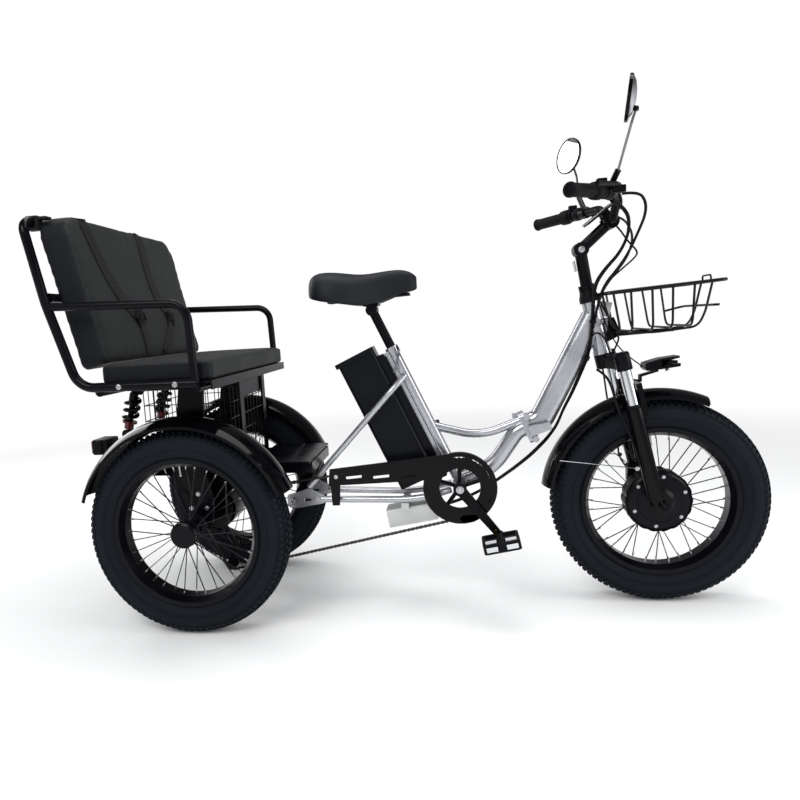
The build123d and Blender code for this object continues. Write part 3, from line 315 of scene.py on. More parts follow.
DARK_STEEL = finish("oiled_steel", (35, 33, 30), (80, 76, 70), 0.36, metal=1.0, grain=500, bump=0.1)
CHROME = finish("chrome", (500, 510, 530), (580, 590, 610), 0.07, metal=1.0, grain=40, bump=0.01,
                rough_spread=0.03)
STEM_STEEL = finish("dark_chrome", (160, 165, 175), (220, 225, 235), 0.16, metal=1.0, grain=60, bump=0.01)
GLASS = finish("mirror_glass", (930, 940, 950), (950, 960, 970), 0.03, metal=1.0, bump=0, rough_spread=0.005)
WIRE = finish("coated_wire", (2, 2, 2.8), (3.8, 3.8, 4.8), 0.3, grain=800, bump=0.06, specular=0.18)
CABLE = finish("cable_sleeve", (2.2, 2.2, 3), (4.5, 4.5, 5.6), 0.42, grain=1500, bump=0.12, specular=0.13)
RUBBER = finish("tyre_rubber", (4.2, 5.8, 9.2), (6.8, 8.8, 13.2), 0.66, grain=1300, bump=0.30, specular=0.12)
GRIP = finish("grip_rubber", (3, 3.1, 4), (5.5, 5.6, 6.6), 0.6, grain=1500, bump=0.25, specular=0.12)
RED = finish("red_lens", (85, 3, 6), (130, 5, 9), 0.22, coat=0.3, grain=90)
CLEAR = finish("clear_lens", (620, 630, 650), (780, 790, 800), 0.12, metal=0.7, coat=0.9, grain=120,
               bump=0.10)
GLASS_DARK = finish("screen_glass", (8, 9, 11), (12, 13, 16), 0.08, coat=0.6, bump=0)
SEAT = woven("seat_cover", (8.5, 9.5, 10), (12.5, 13.5, 14), 0.0011, 0.6, sheen=0.03)
SADDLE = woven("saddle_cover", (4.2, 5.5, 8.2), (7.8, 9.8, 13.5), 0.0013, 0.5, strength=0.2)
SIDE_CLOTH = woven("seat_side_cover", (1.8, 2.5, 4.5), (3.2, 4.2, 7), 0.0011, 0.6, sheen=0.02)
WEBBING = woven("strap_webbing", (4, 4.2, 4.6), (7.5, 7.8, 8.4), 0.0016, 0.55, strength=0.6)
WHITE_BOX = finish("controller_shell", (520, 530, 530), (660, 670, 660), 0.42, metal=0.35, grain=700,
                   bump=0.08)
REFLECTOR = finish("reflector", (620, 630, 640), (720, 730, 740), 0.3, grain=300)
BRASS = finish("brass", (420, 270, 80), (500, 330, 110), 0.3, metal=1.0, grain=300)

NODE_FINISH = (
    (SILVER, "seat_tube lower_tube upper_tube seat_stays chain_stays front_frame fold_latch"),
    (STEEL_BLACK, "carriage_rails carriage_cross axle_hangers side_struts axle_housing seat_sides seat_base"),
    (STEEL_BLACK, "seat_backs seat_support footboard"),
    (ALLOY_BLACK, "stem handlebar crank_set brake_levers brake_caliper derailleur front_axle seat_post"),
    (GLOSS, "fork_lowers rear_fenders front_fender chain_guard"),
    (MATTE, "pedal_right pedal_left"),
    (DARK_STEEL, "cassette"),
    (WHITE_BOX, "controller_box"),
    (GRIP, "grips"),
    (BATTERY, "battery"),
    (STEEL, "brake_disc"),
)
# the wheel, its axle and its hub's radius in millimetres
WHEEL_HUBS = (("wheel_front", FRONT_X, 87), ("wheel_rear_right", AXLE_X, 38.5),
              ("wheel_rear_left", AXLE_X, 38.5))
SMOOTH_ANGLE = radians(32)


def dress(name, material):
    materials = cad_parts[name].data.materials
    materials.clear()
    materials.append(material)


def dress_nodes():
    for material, names in NODE_FINISH:
        for name in names.split():
            dress(name, material)
    for name, x, hub_r in WHEEL_HUBS:
        dress(name, wheel_paint(name + "_paint", x, hub_r))


# Mesh helpers


def smooth_by_angle(obj):
    with bpy.context.temp_override(object=obj, active_object=obj, selected_objects=[obj],
                                   selected_editable_objects=[obj]):
        bpy.ops.object.shade_smooth_by_angle(angle=SMOOTH_ANGLE)


def add_piece(name, points, faces, material, body=None, slot=None):
    mesh = bpy.data.meshes.new(name)
    mesh.from_pydata([tuple(p) for p in points], [], faces)
    mesh.update()
    mesh.materials.append(material)
    mesh.shade_smooth()
    obj = put(name, mesh)
    if body:
        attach(obj, body)
    return obj


class Pile:
    """Many small shapes gathered into one mesh."""

    def __init__(self):
        self.points, self.faces = [], []

    def add(self, shape, place=Matrix()):
        points, faces = shape
        base = len(self.points)
        self.points += [place @ Vector(p) for p in points]
        self.faces += [[base + i for i in face] for face in faces]
        return self

    def make(self, name, material, body, slot, replaced=None):
        obj = add_piece(name, self.points, self.faces, material, body, slot)
        smooth_by_angle(obj)
        if replaced:
            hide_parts(replaced)
        return obj


def face_outward(obj):
    bm = bmesh.new()
    bm.from_mesh(obj.data)
    bmesh.ops.triangulate(bm, faces=[f for f in bm.faces if len(f.verts) > 4])
    bmesh.ops.recalc_face_normals(bm, faces=bm.faces)
    bm.to_mesh(obj.data)
    bm.free()


def skin(rings, closed=False, caps=True, flip=False):
    """Faces over rings that have equally many points; caps close the ends, flip turns the faces over."""
    count, rows = len(rings[0]), len(rings)
    faces = []
    for i in range(rows if closed else rows - 1):
        j = (i + 1) % rows
        for k in range(count):
            m = (k + 1) % count
            face = [i * count + k, i * count + m, j * count + m, j * count + k]
            faces.append([face[0], face[3], face[2], face[1]] if flip else face)
    if caps:
        ends = [list(range(count))[::-1], [(rows - 1) * count + k for k in range(count)]]
        faces += [end[::-1] for end in ends] if flip else ends
    return [p for ring in rings for p in ring], faces


def lathe(profile, sides=24):
    """A turned shape about Z from (radius, height) pairs in millimetres, closed where the radius is 0."""
    points, faces, rings = [], [], []
    for r, h in profile:
        count = sides if r else 1
        rings.append([len(points) + i for i in range(count)])
        for a in [TURN * i / count for i in range(count)]:
            points.append(Vector((r * cos(a), r * sin(a), h)) * MM)
    for a, b in zip(rings, rings[1:]):
        for i in range(sides):
            j = (i + 1) % sides
            quad = [a[i % len(a)], a[j % len(a)], b[j % len(b)], b[i % len(b)]]
            face = [v for k, v in enumerate(quad) if v != quad[k - 1]]
            if len(face) > 2:
                faces.append(face)
    return points, faces


def aim(place, direction):
    """A frame at place whose Z points along direction."""
    turn = Vector(direction).normalized().to_track_quat("Z", "Y").to_matrix().to_4x4()
    return Matrix.Translation(place) @ turn


def tube(path, radius, sides=10, closed=False, squash=1.0):
    """A round tube along a list of points; squash flattens it."""
    path = [Vector(p) for p in path]
    angles = [TURN * k / sides for k in range(sides)]
    side, rings = None, []
    for i, p in enumerate(path):
        before = path[i - 1] if i or closed else p
        after = path[(i + 1) % len(path)] if i + 1 < len(path) or closed else p
        along = (after - before).normalized()
        if side is None:
            side = along.orthogonal().normalized()
        side = (side - along * side.dot(along)).normalized()
        up = along.cross(side) * squash
        rings.append([p + (side * cos(a) + up * sin(a)) * radius for a in angles])
    return skin(rings, closed, caps=not closed)


def hose(path, radius, sides=10, squash=1.0):
    """A tube whose path and radius are in millimetres."""
    return tube([at(*p) for p in path], radius * MM, sides, squash=squash)


def slab(x, y, z, bevel):
    """A box given by its spans in millimetres, its edges eased by bevel."""
    bm = bmesh.new()
    bmesh.ops.create_cube(bm, size=1)
    for v in bm.verts:
        v.co = Vector([(s[0] + s[1]) / 2 + c * (s[1] - s[0]) for s, c in zip((x, y, z), v.co)]) * MM
    bmesh.ops.bevel(bm, geom=list(bm.edges), offset=bevel * MM, segments=2, affect="EDGES", profile=0.6)
    shape = [v.co.copy() for v in bm.verts], [[v.index for v in f.verts] for f in bm.faces]
    bm.free()
    return shape


def block(x, y, z, bevel):
    """A slab centred on its place, given by its half sizes."""
    return slab((-x, x), (-y, y), (-z, z), bevel)


def profile_slab(outline, y0, y1):
    """A flat shape standing in XZ, given as (x, z) points, from y0 to y1."""
    return skin([[at(x, y, z) for x, z in outline] for y in (y0, y1)])


def spline(points, steps=8):
    """Points along the smooth curve that has the given ones as its control points."""
    curve = bpy.data.curves.new("route", "CURVE")
    curve.dimensions = "3D"
    line = curve.splines.new("NURBS")
    line.points.add(len(points) - 1)
    for target, p in zip(line.points, points):
        target.co = (*p, 1)
    line.order_u = 3
    line.use_endpoint_u = True
    curve.resolution_u = steps
    holder = put("route", curve)
    mesh = bpy.data.meshes.new_from_object(holder)
    found = [v.co.copy() for v in mesh.vertices]
    bpy.data.objects.remove(holder)
    bpy.data.curves.remove(curve)
    bpy.data.meshes.remove(mesh)
    return found


def heading(line, i):
    """The direction of a line of points at point i."""
    return (line[min(i + 1, len(line) - 1)] - line[max(i - 1, 0)]).normalized()


def rounded(points, radius, steps=5):
    """A polyline with its corners cut to smooth bends."""
    points = [Vector(p) for p in points]
    path = [points[0]]
    for a, b, c in zip(points, points[1:], points[2:]):
        back, ahead = a - b, c - b
        reach = min(radius, 0.48 * back.length, 0.48 * ahead.length)
        start, end = b + back.normalized() * reach, b + ahead.normalized() * reach
        for f in [i / steps for i in range(steps + 1)]:
            path.append(start * (1 - f) ** 2 + b * 2 * f * (1 - f) + end * f ** 2)
    path.append(points[-1])
    return path


def cable(pile, route, r, steps=8):
    pile.add(tube(spline([at(*p) for p in route], steps), r * MM, 8))


def radial(angle):
    """The direction at an angle round an axle."""
    return Vector((cos(angle), 0, sin(angle)))


def bolt(radius, height):
    """A bolt head on a washer, standing on Z = 0."""
    washer, head = 1.35 * radius, 0.86 * radius
    return lathe([(0, 0), (washer, 0), (washer, 0.22 * height), (radius, 0.25 * height),
                  (radius, 0.9 * height), (head, height), (0.45 * head, height), (0.42 * head, 0.7 * height),
                  (0, 0.7 * height)], 18)


# Tyres

TYRE_HALF = 49.5
TREAD_H = 5.0
CROWN_R, BULGE_R, BEAD_DROP = TYRE_R / MM - TREAD_H, 247.0, 44.0
BEAD_ANGLE = radians(112)
BEAD_R, BEAD_HALF, BEAD_T = 205.5, 34.0, 5
PITCHES = 96
SECTION_STEPS, TYRE_SIDES = 30, 128
# where each rib of the sidewall is on the section, and its thickness
RIBS = ((0.93, 1.3), (0.885, 0.8), (0.60, 0.9))
# each tread block's span across the section and along in pitches, its height, slant in pitches, and rows
BLOCKS = (
    (0.02, 0.15, 0.0, 0.60, 0.97, 0.25, 2),
    (0.18, 0.31, 0.45, 1.02, 0.90, 0.30, 2),
    (0.345, 0.55, 0.05, 0.62, 0.66, -0.12, 3),
    (0.50, 0.575, 0.70, 0.92, 0.40, 0.0, 1),
)


def carcass(u):
    """Radius and half width of the tyre's section: u is 0 at the crown, 1 and -1 at the rim."""
    a = abs(u) * BEAD_ANGLE
    reach = (CROWN_R - BULGE_R) if a < pi / 2 else BEAD_DROP
    w = TYRE_HALF * sin(a) ** 0.82 if a else 0.0
    r = BULGE_R + reach * cos(a) * (abs(cos(a)) ** -0.12 if abs(cos(a)) > 1e-6 else 0)
    return r, w if u >= 0 else -w


def tread_point(u, turn, lift):
    """A point on the tyre about an axle at the origin, lifted off its section by lift."""
    r, w = carcass(u)
    r2, w2 = carcass(u + 0.01)
    r1, w1 = carcass(u - 0.01)
    length = hypot(r2 - r1, w2 - w1)
    nr, nw = (w2 - w1) / length, -(r2 - r1) / length
    return (radial(turn) * (r + nr * lift) + LEFT * (w + nw * lift)) * MM


def knob(pile, u0, u1, t0, t1, height, slant, spans):
    """One tread block with drafted sides."""
    top, base = [], []
    for i in range(spans + 1):
        f = i / spans
        u = u0 + (u1 - u0) * f
        shift = slant * (f - 0.5)
        inset_u = (0.10 - 0.20 * f) * (u1 - u0) * (1 if i in (0, spans) else 0)
        inset_t = 0.10 * (t1 - t0)
        base += [tread_point(u, t0 + shift, -0.6), tread_point(u, t1 + shift, -0.6)]
        top += [tread_point(u + inset_u, t0 + shift + inset_t, height),
                tread_point(u + inset_u, t1 + shift - inset_t, height)]
    under, last = 2 * (spans + 1), 2 * spans
    faces = [[0, under, under + 1, 1], [last, last + 1, last + 1 + under, last + under]]
    for i in range(spans):
        a, b, c, d = 2 * i, 2 * i + 1, 2 * i + 3, 2 * i + 2
        faces += [[a, b, c, d], [a, d, d + under, a + under], [b, b + under, c + under, c]]
    pile.add((top + base, faces))


def tyre_shape():
    """A fat tyre about the origin: casing with sidewall ribs, and rows of tread blocks."""
    section = [(BEAD_R, -BEAD_HALF), (BEAD_R + BEAD_T, -BEAD_HALF)]
    section += [carcass(-1 + 2 * i / SECTION_STEPS) for i in range(SECTION_STEPS + 1)]
    section += [(BEAD_R + BEAD_T, BEAD_HALF), (BEAD_R, BEAD_HALF)]
    angles = [TURN * k / TYRE_SIDES for k in range(TYRE_SIDES)]
    pile = Pile()
    pile.add(skin([[(radial(a) * r + LEFT * w) * MM for a in angles] for r, w in section], True, False, True))
    for side in (-1, 1):
        for u, thick in RIBS:
            pile.add(tube([tread_point(side * u, a, 0) for a in angles], thick * MM, 6, closed=True))
    pitch = TURN / PITCHES
    for k in range(PITCHES):
        for side in (-1, 1):
            t = (k + (0.5 if side > 0 else 0)) * pitch
            for u0, u1, t0, t1, height, slant, spans in BLOCKS:
                knob(pile, side * u0, side * u1, t + t0 * pitch, t + t1 * pitch, TREAD_H * height,
                     side * slant * pitch, spans)
    return pile


def make_tyres():
    shape = tyre_shape()
    for name, body, centre in WHEELS:
        points = [centre + p for p in shape.points]
        tyre = add_piece(f"fat_tyre_{name}", points, shape.faces, RUBBER, body, "tyre")
        smooth_by_angle(tyre)
        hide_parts(f"tyre_{name}")


# Cushions

SIDE_LEAN = 0.72


def coordinates(obj):
    co = np.empty(len(obj.data.vertices) * 3)
    obj.data.vertices.foreach_get("co", co)
    return co.reshape(-1, 3)


def set_coordinates(obj, co):
    obj.data.vertices.foreach_set("co", co.ravel())
    obj.data.update()


def apply_modifiers(obj):
    """Puts the evaluated mesh in the object's place and drops its modifiers."""
    evaluated = obj.evaluated_get(bpy.context.evaluated_depsgraph_get())
    mesh = bpy.data.meshes.new_from_object(evaluated)
    obj.modifiers.clear()
    old = obj.data
    obj.data = mesh
    bpy.data.meshes.remove(old)


def subdivide(obj, levels):
    smooth = obj.modifiers.new("subdivision", "SUBSURF")
    smooth.levels = smooth.render_levels = levels
    apply_modifiers(obj)
    obj.data.shade_smooth()


def inflate(obj, cap, voxel, pressure=4.0, frames=20):
    """Remeshes a pad and blows it up as cloth, with no point moved further than cap."""
    mod = obj.modifiers.new("remesh", "REMESH")
    mod.mode = "VOXEL"
    mod.voxel_size = voxel
    apply_modifiers(obj)
    rest = coordinates(obj)
    cloth = obj.modifiers.new("cloth", "CLOTH")
    cloth.settings.use_pressure = True
    cloth.settings.uniform_pressure_force = pressure
    cloth.settings.effector_weights.gravity = 0
    cloth.settings.quality = 4
    cloth.settings.tension_stiffness = 40
    cloth.settings.bending_stiffness = 4
    cloth.point_cache.frame_start = 1
    cloth.point_cache.frame_end = frames + 1
    for f in range(1, frames + 1):
        bpy.context.scene.frame_set(f)
    apply_modifiers(obj)
    bpy.context.scene.frame_set(1)
    step = coordinates(obj) - rest
    length = np.linalg.norm(step, axis=1)
    scale = np.minimum(1.0, cap / np.maximum(length, 1e-9))
    set_coordinates(obj, rest + step * scale[:, None])


def seat_piece(obj, node):
    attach(obj, "rear_frame")
    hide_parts(node)


def finish_pad(pad, node, low, high):
    """Keeps a pad inside its box, smooths it, and gives its ends their darker cloth."""
    set_coordinates(pad, np.clip(coordinates(pad), np.array(low), np.array(high)))
    subdivide(pad, 1)
    pad.data.materials.append(SIDE_CLOTH)
    for face in pad.data.polygons:
        face.material_index = 1 if abs(face.normal.y) > SIDE_LEAN else 0
    seat_piece(pad, node)


SEAT_GROW = Vector((0.012, 0, 0.005))
SEAT_INSET = (0.002, 0.0008, 0.0008)
SEAT_CORNER, SEAT_EDGE = 0.022, 0.005
SEAT_CROWN = 0.005
SEAM_AT, SEAM_WIDTH, SEAM_DEPTH, SEAM_REACH = 0.72, 0.0025, 0.006, 0.02


def make_seat_cushion():
    low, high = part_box("seat_cushion")
    high = high + SEAT_GROW
    bm = bmesh.new()
    bmesh.ops.create_cube(bm, size=1)
    for v in bm.verts:
        v.co = Vector([(a + b) / 2 + c * (b - a - 2 * i) for a, b, c, i in zip(low, high, v.co, SEAT_INSET)])
    upright = [e for e in bm.edges if abs((e.verts[0].co - e.verts[1].co).z) > 0.01]
    bmesh.ops.bevel(bm, geom=upright, offset=SEAT_CORNER, segments=5, affect="EDGES", profile=0.5)
    level = [e for e in bm.edges if abs((e.verts[0].co - e.verts[1].co).z) < 1e-6 and e.is_manifold
             and e.calc_face_angle() > 1.0]
    bmesh.ops.bevel(bm, geom=level, offset=SEAT_EDGE, segments=2, affect="EDGES", profile=0.5)
    pad = from_bmesh("bench_pad", bm, SEAT)
    inflate(pad, 0.004, 0.007)
    co = coordinates(pad)
    across, along, top = np.clip((co - np.array(low)) / np.array(high - low), 0, 1).T
    co[:, 2] += top * (np.sin(along * pi) ** 0.5 * np.sin(across * pi) ** 0.5 - 1.0) * SEAT_CROWN
    seam = low.z + SEAM_AT * (high.z - low.z)
    pinch = np.exp(-((co[:, 2] - seam) / SEAM_WIDTH) ** 2)
    wall = np.clip(1 - np.minimum(np.minimum(co[:, 0] - low.x, high.x - co[:, 0]),
                                  np.minimum(co[:, 1] - low.y, high.y - co[:, 1])) / SEAM_REACH, 0, 1)
    middle = np.array((low + high) / 2)[:2]
    co[:, :2] -= (co[:, :2] - middle) * (pinch * wall)[:, None] * SEAM_DEPTH
    set_coordinates(pad, co)
    finish_pad(pad, "seat_cushion", low, high)


BACK_FOOT_Z, BACK_TOP_Z, BACK_MIDDLE_Z = 764.5, 1170.0, 960
BACK_CORNER, BACK_FOOT_CORNER = 62.0, (12, 16)
REAR_FOOT_TOP, REAR_FOOT_DROP = 800, 19


def back_outline():
    """The back cushion's front-view outline, its top corners round, as (y, z) in millimetres."""
    low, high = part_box("back_cushion")
    half, foot, top = high.y / MM, low.z / MM, high.z / MM
    in_y, up_z = BACK_FOOT_CORNER
    points = [(-half + in_y, foot), (half - in_y, foot), (half, foot + up_z)]
    for side, start in ((1, 0), (-1, 90)):
        for i in range(9):
            a = radians(start + 90 * i / 8)
            points.append((side * (half - BACK_CORNER) + BACK_CORNER * cos(a),
                           top - BACK_CORNER + BACK_CORNER * sin(a)))
    points.append((-half, foot + up_z))
    return points


def back_depth(z):
    """The cushion's rear and front faces at height z, as the solid has them."""
    share = (z - BACK_FOOT_Z) / (BACK_TOP_Z - BACK_FOOT_Z)
    return -228 - (z - 768) * (92.5 / 380), -158 - 89 * share


def make_back_cushion():
    low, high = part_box("back_cushion")
    bm = bmesh.new()
    layers = []
    for face, backward in ((0, 6), (1, 3)):
        ring = []
        for y, z in back_outline():
            x = back_depth(min(z, BACK_TOP_Z))[face] - backward
            z_in = z - 2 if z > BACK_MIDDLE_Z else z + 1
            if face == 0 and z < REAR_FOOT_TOP:
                z_in -= REAR_FOOT_DROP
            ring.append(bm.verts.new(at(x, y - 2 * (1 if y > 0 else -1), z_in)))
        layers.append(ring)
    rear, front = layers
    for a, b, c, d in zip(rear, rear[1:] + rear[:1], front[1:] + front[:1], front):
        bm.faces.new([a, b, c, d])
    rims = [bm.faces.new(rear[::-1]), bm.faces.new(front)]
    edges = [e for face in rims for e in face.edges]
    bmesh.ops.bevel(bm, geom=edges, offset=0.006, segments=2, affect="EDGES", profile=0.5)
    bmesh.ops.recalc_face_normals(bm, faces=bm.faces)
    pad = from_bmesh("back_pad", bm, SEAT)
    inflate(pad, 0.006, 0.0075)
    finish_pad(pad, "back_cushion", low - Vector((0.008, 0, 0.022)), high)
    make_straps(pad)


# Harness straps

STRAP_W, STRAP_T = 44.0, 1.8
# (y, z) down each strap's middle, then down its tail
STRAPS = {
    "right": ([(-252, 1158), (-236, 1107), (-212, 1030), (-176, 970), (-134, 928), (-88, 896)],
              [(-76, 880), (-79, 830), (-78, 778)]),
    "left": ([(85, 1160), (72, 1075), (76, 985), (103, 935), (142, 903)], [(136, 868), (86, 820), (30, 779)]),
}
ACROSS = (-0.5, -0.25, 0.0, 0.25, 0.5)
OVER_TOP = (0.080, 0.055, 0.030, 0.014, 0.006)
BUCKLE = (((-3, 7), (-24, 24), (-4, 22)), ((-2, 6), (-21, 21), (-30, -6)), ((-3, 8), (-25, -19), (-22, 8)),
          ((-3, 8), (19, 25), (-22, 8)), ((5, 9), (-15, 15), (2, 16)))


def strap_on(pad, route, width, lift, over_top=False):
    """Webbing laid on the pad's front along a route of (y, z) points, and over its top edge if asked."""
    tree = BVHTree.FromObject(pad, bpy.context.evaluated_depsgraph_get())
    line = spline([Vector((0, y, z)) for y, z in route], 6)
    rings = []
    if over_top:
        front = at(back_depth(line[0].z)[1], 0, 0).x
        for back in OVER_TOP:
            row = []
            for f in ACROSS:
                y = (line[0].y + width * f) * MM
                hit = tree.ray_cast(Vector((front - back, y, 2.0)), -UP)[0]
                row.append(hit or Vector((front - back, y, BACK_TOP_Z * MM)))
            rings.append([q + Vector((0.3 * lift, 0, lift + STRAP_T)) * MM for q in row]
                         + [q + UP * lift * MM for q in reversed(row)])
    for i, p in enumerate(line):
        along = heading(line, i)
        row = []
        for f in ACROSS:
            q = p + Vector((0, along.z, -along.y)) * width * f
            hit = tree.ray_cast(at(200, q.y, q.z), Vector((-1, 0, 0)))[0]
            row.append(Vector((hit.x if hit else at(back_depth(q.z)[1], 0, 0).x, q.y * MM, q.z * MM)))
        rings.append([q + Vector(((lift + STRAP_T) * MM, 0, 0)) for q in row]
                     + [q + Vector((lift * MM, 0, 0)) for q in reversed(row)])
    return skin(rings)


def make_straps(pad):
    for side, (route, tail) in STRAPS.items():
        webbing = Pile()
        webbing.add(strap_on(pad, route, STRAP_W, 0.6, over_top=True))
        webbing.add(strap_on(pad, tail, STRAP_W * 0.8, 1.6))
        webbing.make(f"harness_strap_{side}", WEBBING, "rear_frame", "seat_fabric")
        (y, z), (tail_y, tail_z) = route[-1], tail[0]
        middle = at(back_depth(z)[1] + 6, (y + tail_y) / 2, (z + tail_z) / 2)
        place = Matrix.Translation(middle) @ Matrix.Rotation(atan2(tail_y - y, z - tail_z), 4, "X")
        buckle = Pile()
        for spans in BUCKLE:
            buckle.add(slab(*spans, 1.5), place)
        buckle.make(f"harness_buckle_{side}", MATTE, "rear_frame", "matte_black")


# Saddle

# x, half width of the pad, its top, its skirt's lower edge, in millimetres
SADDLE_ROWS = (
    (333, 44, 958, 921), (340, 78, 974, 908), (358, 106, 985, 901), (384, 119, 987, 894),
    (412, 121, 985, 890), (440, 114, 981, 884), (468, 100, 976, 880), (496, 82, 974, 878),
    (524, 64, 976, 881), (552, 50, 979, 889), (580, 41, 981, 899), (606, 35, 980, 908),
    (630, 28, 972, 914), (645, 16, 958, 918),
)
SADDLE_OVER, SADDLE_UNDER = 26, 7
GROOVE_DEPTH, GROOVE_WIDTH, GROOVE_END, GROOVE_FADE = 4.0, 15.0, 520, 90


def make_saddle():
    """A broad saddle lofted through its rows, with a soft groove down the back."""
    rings = []
    for x, half, top, low in SADDLE_ROWS:
        ring = []
        for k in range(SADDLE_OVER):
            a = pi * k / (SADDLE_OVER - 1)
            y = half * cos(a) * (abs(cos(a)) ** -0.35 if abs(cos(a)) > 1e-3 else 0)
            rise = sin(a) ** 0.62 if 0 < k < SADDLE_OVER - 1 else 0.0
            fade = np.clip((GROOVE_END - x) / GROOVE_FADE, 0, 1)
            groove = GROOVE_DEPTH * np.exp(-(y / GROOVE_WIDTH) ** 2) * fade
            ring.append(at(x, y, low + (top - low) * rise - groove))
        for f in [k / SADDLE_UNDER for k in range(1, SADDLE_UNDER)]:
            ring.append(at(x, -half * (1 - 2 * f) * 0.93, low + 16 * sin(pi * f) ** 0.4))
        rings.append(ring)
    saddle = add_piece("saddle_pad", *skin(rings, flip=True), SADDLE)
    face_outward(saddle)
    subdivide(saddle, 2)
    seat_piece(saddle, "saddle")


# Cables, along the same routes as their solids

UPPER_ROUTE = ((1146, -150, 1101), (1190, -118, 1084), (1206, -82, 1034), (1190, -52, 980), (1152, -38, 938),
               (1127.5, -34, 899.5), (1123, -34, 850), (1120, -34, 795), (1116, -33, 745), (1105, -29, 700))
LOWER_ROUTE = ((1105, -29, 700), (1084, -19, 646), (1065, -6, 598), (1041.5, 0, 552), (1026, 0, 512),
               (1002, 0, 478), (986, 0, 460), (950, 0, 424), (905, 0, 388), (860, 0, 356), (814, 0, 325),
               (768, 0, 303), (722, 0, 286), (675.4, 0, 274))
STRAND_R = 2.5
# sideways and upward offsets of the bundle's strands
STRANDS = ((0.0, 2.6), (2.5, -1.6), (-2.5, -1.6))


def bundle(name, route, body_a, body_b, start, end, *nodes):
    """Three strands side by side along a route."""
    pile = Pile()
    line = spline([at(*p) for p in route], 10)
    for n, (dx, dy) in enumerate(STRANDS):
        strand = []
        for i, p in enumerate(line):
            along = heading(line, i)
            side = (LEFT - along * along.y).normalized()
            up = along.cross(side)
            twist = 0.8 * sin(6.0 * i / len(line) + n)
            strand.append(p + (side * (dx * cos(twist) - dy * sin(twist))
                               + up * (dx * sin(twist) + dy * cos(twist))) * MM)
        pile.add(tube(strand, STRAND_R * MM, 8))
    obj = add_piece(name, pile.points, pile.faces, CABLE)
    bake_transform(obj)
    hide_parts(*nodes)


def clip(bore, outer, half):
    return lathe([(bore, -half), (outer, -half), (outer, half), (bore, half)], 16)


def make_cables():
    bundle("cables_upper", UPPER_ROUTE, "steering", "front_frame", UPPER_ROUTE[2], UPPER_ROUTE[7],
           "cable_bars")
    bundle("cables_lower", LOWER_ROUTE, "front_frame", "rear_frame", LOWER_ROUTE[3], LOWER_ROUTE[8],
           "cable_front", "cable_rear")
    first, second = at(*LOWER_ROUTE[0]), at(*LOWER_ROUTE[1])
    band = Pile().add(clip(6.6, 7.4, 6), aim(first, first - second))
    band.make("cable_clip", MATTE, "front_frame", "cable")


# Control points and radius of each lead that stays on the steered half
STEERING_LEADS = (
    ([(1128, -44, 668), (1146, -70, 655), (1160, -78, 620), (1172, -80, 564), (1200, -80, 502),
      (1219, -80, 449), (1234, -84, 395), (1262, -92, 330), (1282, -98, 300), (1292, -97, 291)], 3.4),
    ([(1160, 46, 672), (1168, 62, 640), (1176, 68, 580), (1190, 70, 500), (1207, 68, 440), (1206, 66, 400),
      (1226, 62, 372)], 2.6),
    ([(1172, -128, 1118), (1190, -90, 1098), (1176, -40, 1080), (1150, -12, 1074)], 2.4),
    ([(1150, 140, 1112), (1174, 100, 1094), (1172, 50, 1076), (1152, 14, 1070)], 2.4),
)
# Control points and radius of each cable that loops from the steered half into the head tube's bundle
LOOPS = {
    "loop_right": ([(1168, -166, 1113), (1206, -168, 1114), (1228, -150, 1092), (1233, -126, 1062),
                    (1224, -96, 1026), (1208, -66, 978), (1184, -48, 938), (1152, -40, 900),
                    (1134, -38, 852), (1124, -38, 795)], 3.6),
    "loop_left": ([(1150, 158, 1108), (1196, 120, 1096), (1222, 60, 1082), (1234, 14, 1040),
                   (1229, -12, 1004), (1210, -26, 962), (1176, -36, 922), (1146, -38, 882),
                   (1130, -40, 835), (1121, -38, 782)], 3.2),
    "loop_screen": ([(1166, -18, 1076), (1192, -24, 1046), (1214, -32, 1006), (1236, -44, 978),
                     (1226, -50, 962), (1192, -46, 934), (1156, -42, 902), (1138, -42, 860),
                     (1126, -40, 808)], 2.4),
    "loop_lamp": ([(1253, -20, 668), (1223, -24, 691), (1190, -26, 723), (1161, -30, 773), (1143, -34, 826),
                   (1134, -36, 862)], 1.7),
    "loop_crown": ([(1166, -38, 700), (1160, -38, 728), (1148, -38, 758), (1130, -38, 771), (1114, -36, 758),
                    (1108, -33, 724)], 2.4),
    "loop_front": ([(1168, -34, 704), (1180, -36, 728), (1188, -38, 752), (1178, -40, 778), (1158, -40, 812),
                    (1140, -38, 852)], 2.4),
}


def make_steering_cables():
    leads = Pile()
    for route, r in STEERING_LEADS:
        cable(leads, route, r)
    leads.make("steering_leads", CABLE, "steering", "cable")


def make_loose_loops():
    for name, (route, r) in LOOPS.items():
        pile = Pile()
        cable(pile, route, r, 10)
        loop = add_piece(name, pile.points, pile.faces, CABLE)
        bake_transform(loop)
    tie = Pile().add(clip(7.6, 8.6, 4), aim(at(1121, -35, 800), (-4, 1, -50)))
    tie.make("cable_ties", MATTE, "front_frame", "cable")


# Wheels and fasteners

SPOKES = 36
MOTOR_R, MOTOR_LOBE, MOTOR_LOBES = 86, 3.6, 18
MOTOR_BOLT_R, MOTOR_BOLT_Y = 71, 35
# x, y, z and radius of each bolt that stands on both sides, then the guard's own
FRAME_BOLTS = ((-103, 402, 709.5, 5.5), (50, 402, 709.2, 5.5), (250, 71, 316, 7.5), (322, 64.3, 318, 6.0),
               (0, 191.3, 372, 5), (24, 191.3, 330, 5), (-24, 191.3, 330, 5))
GUARD_BOLT = (390, 92.3, 392, 4.5)


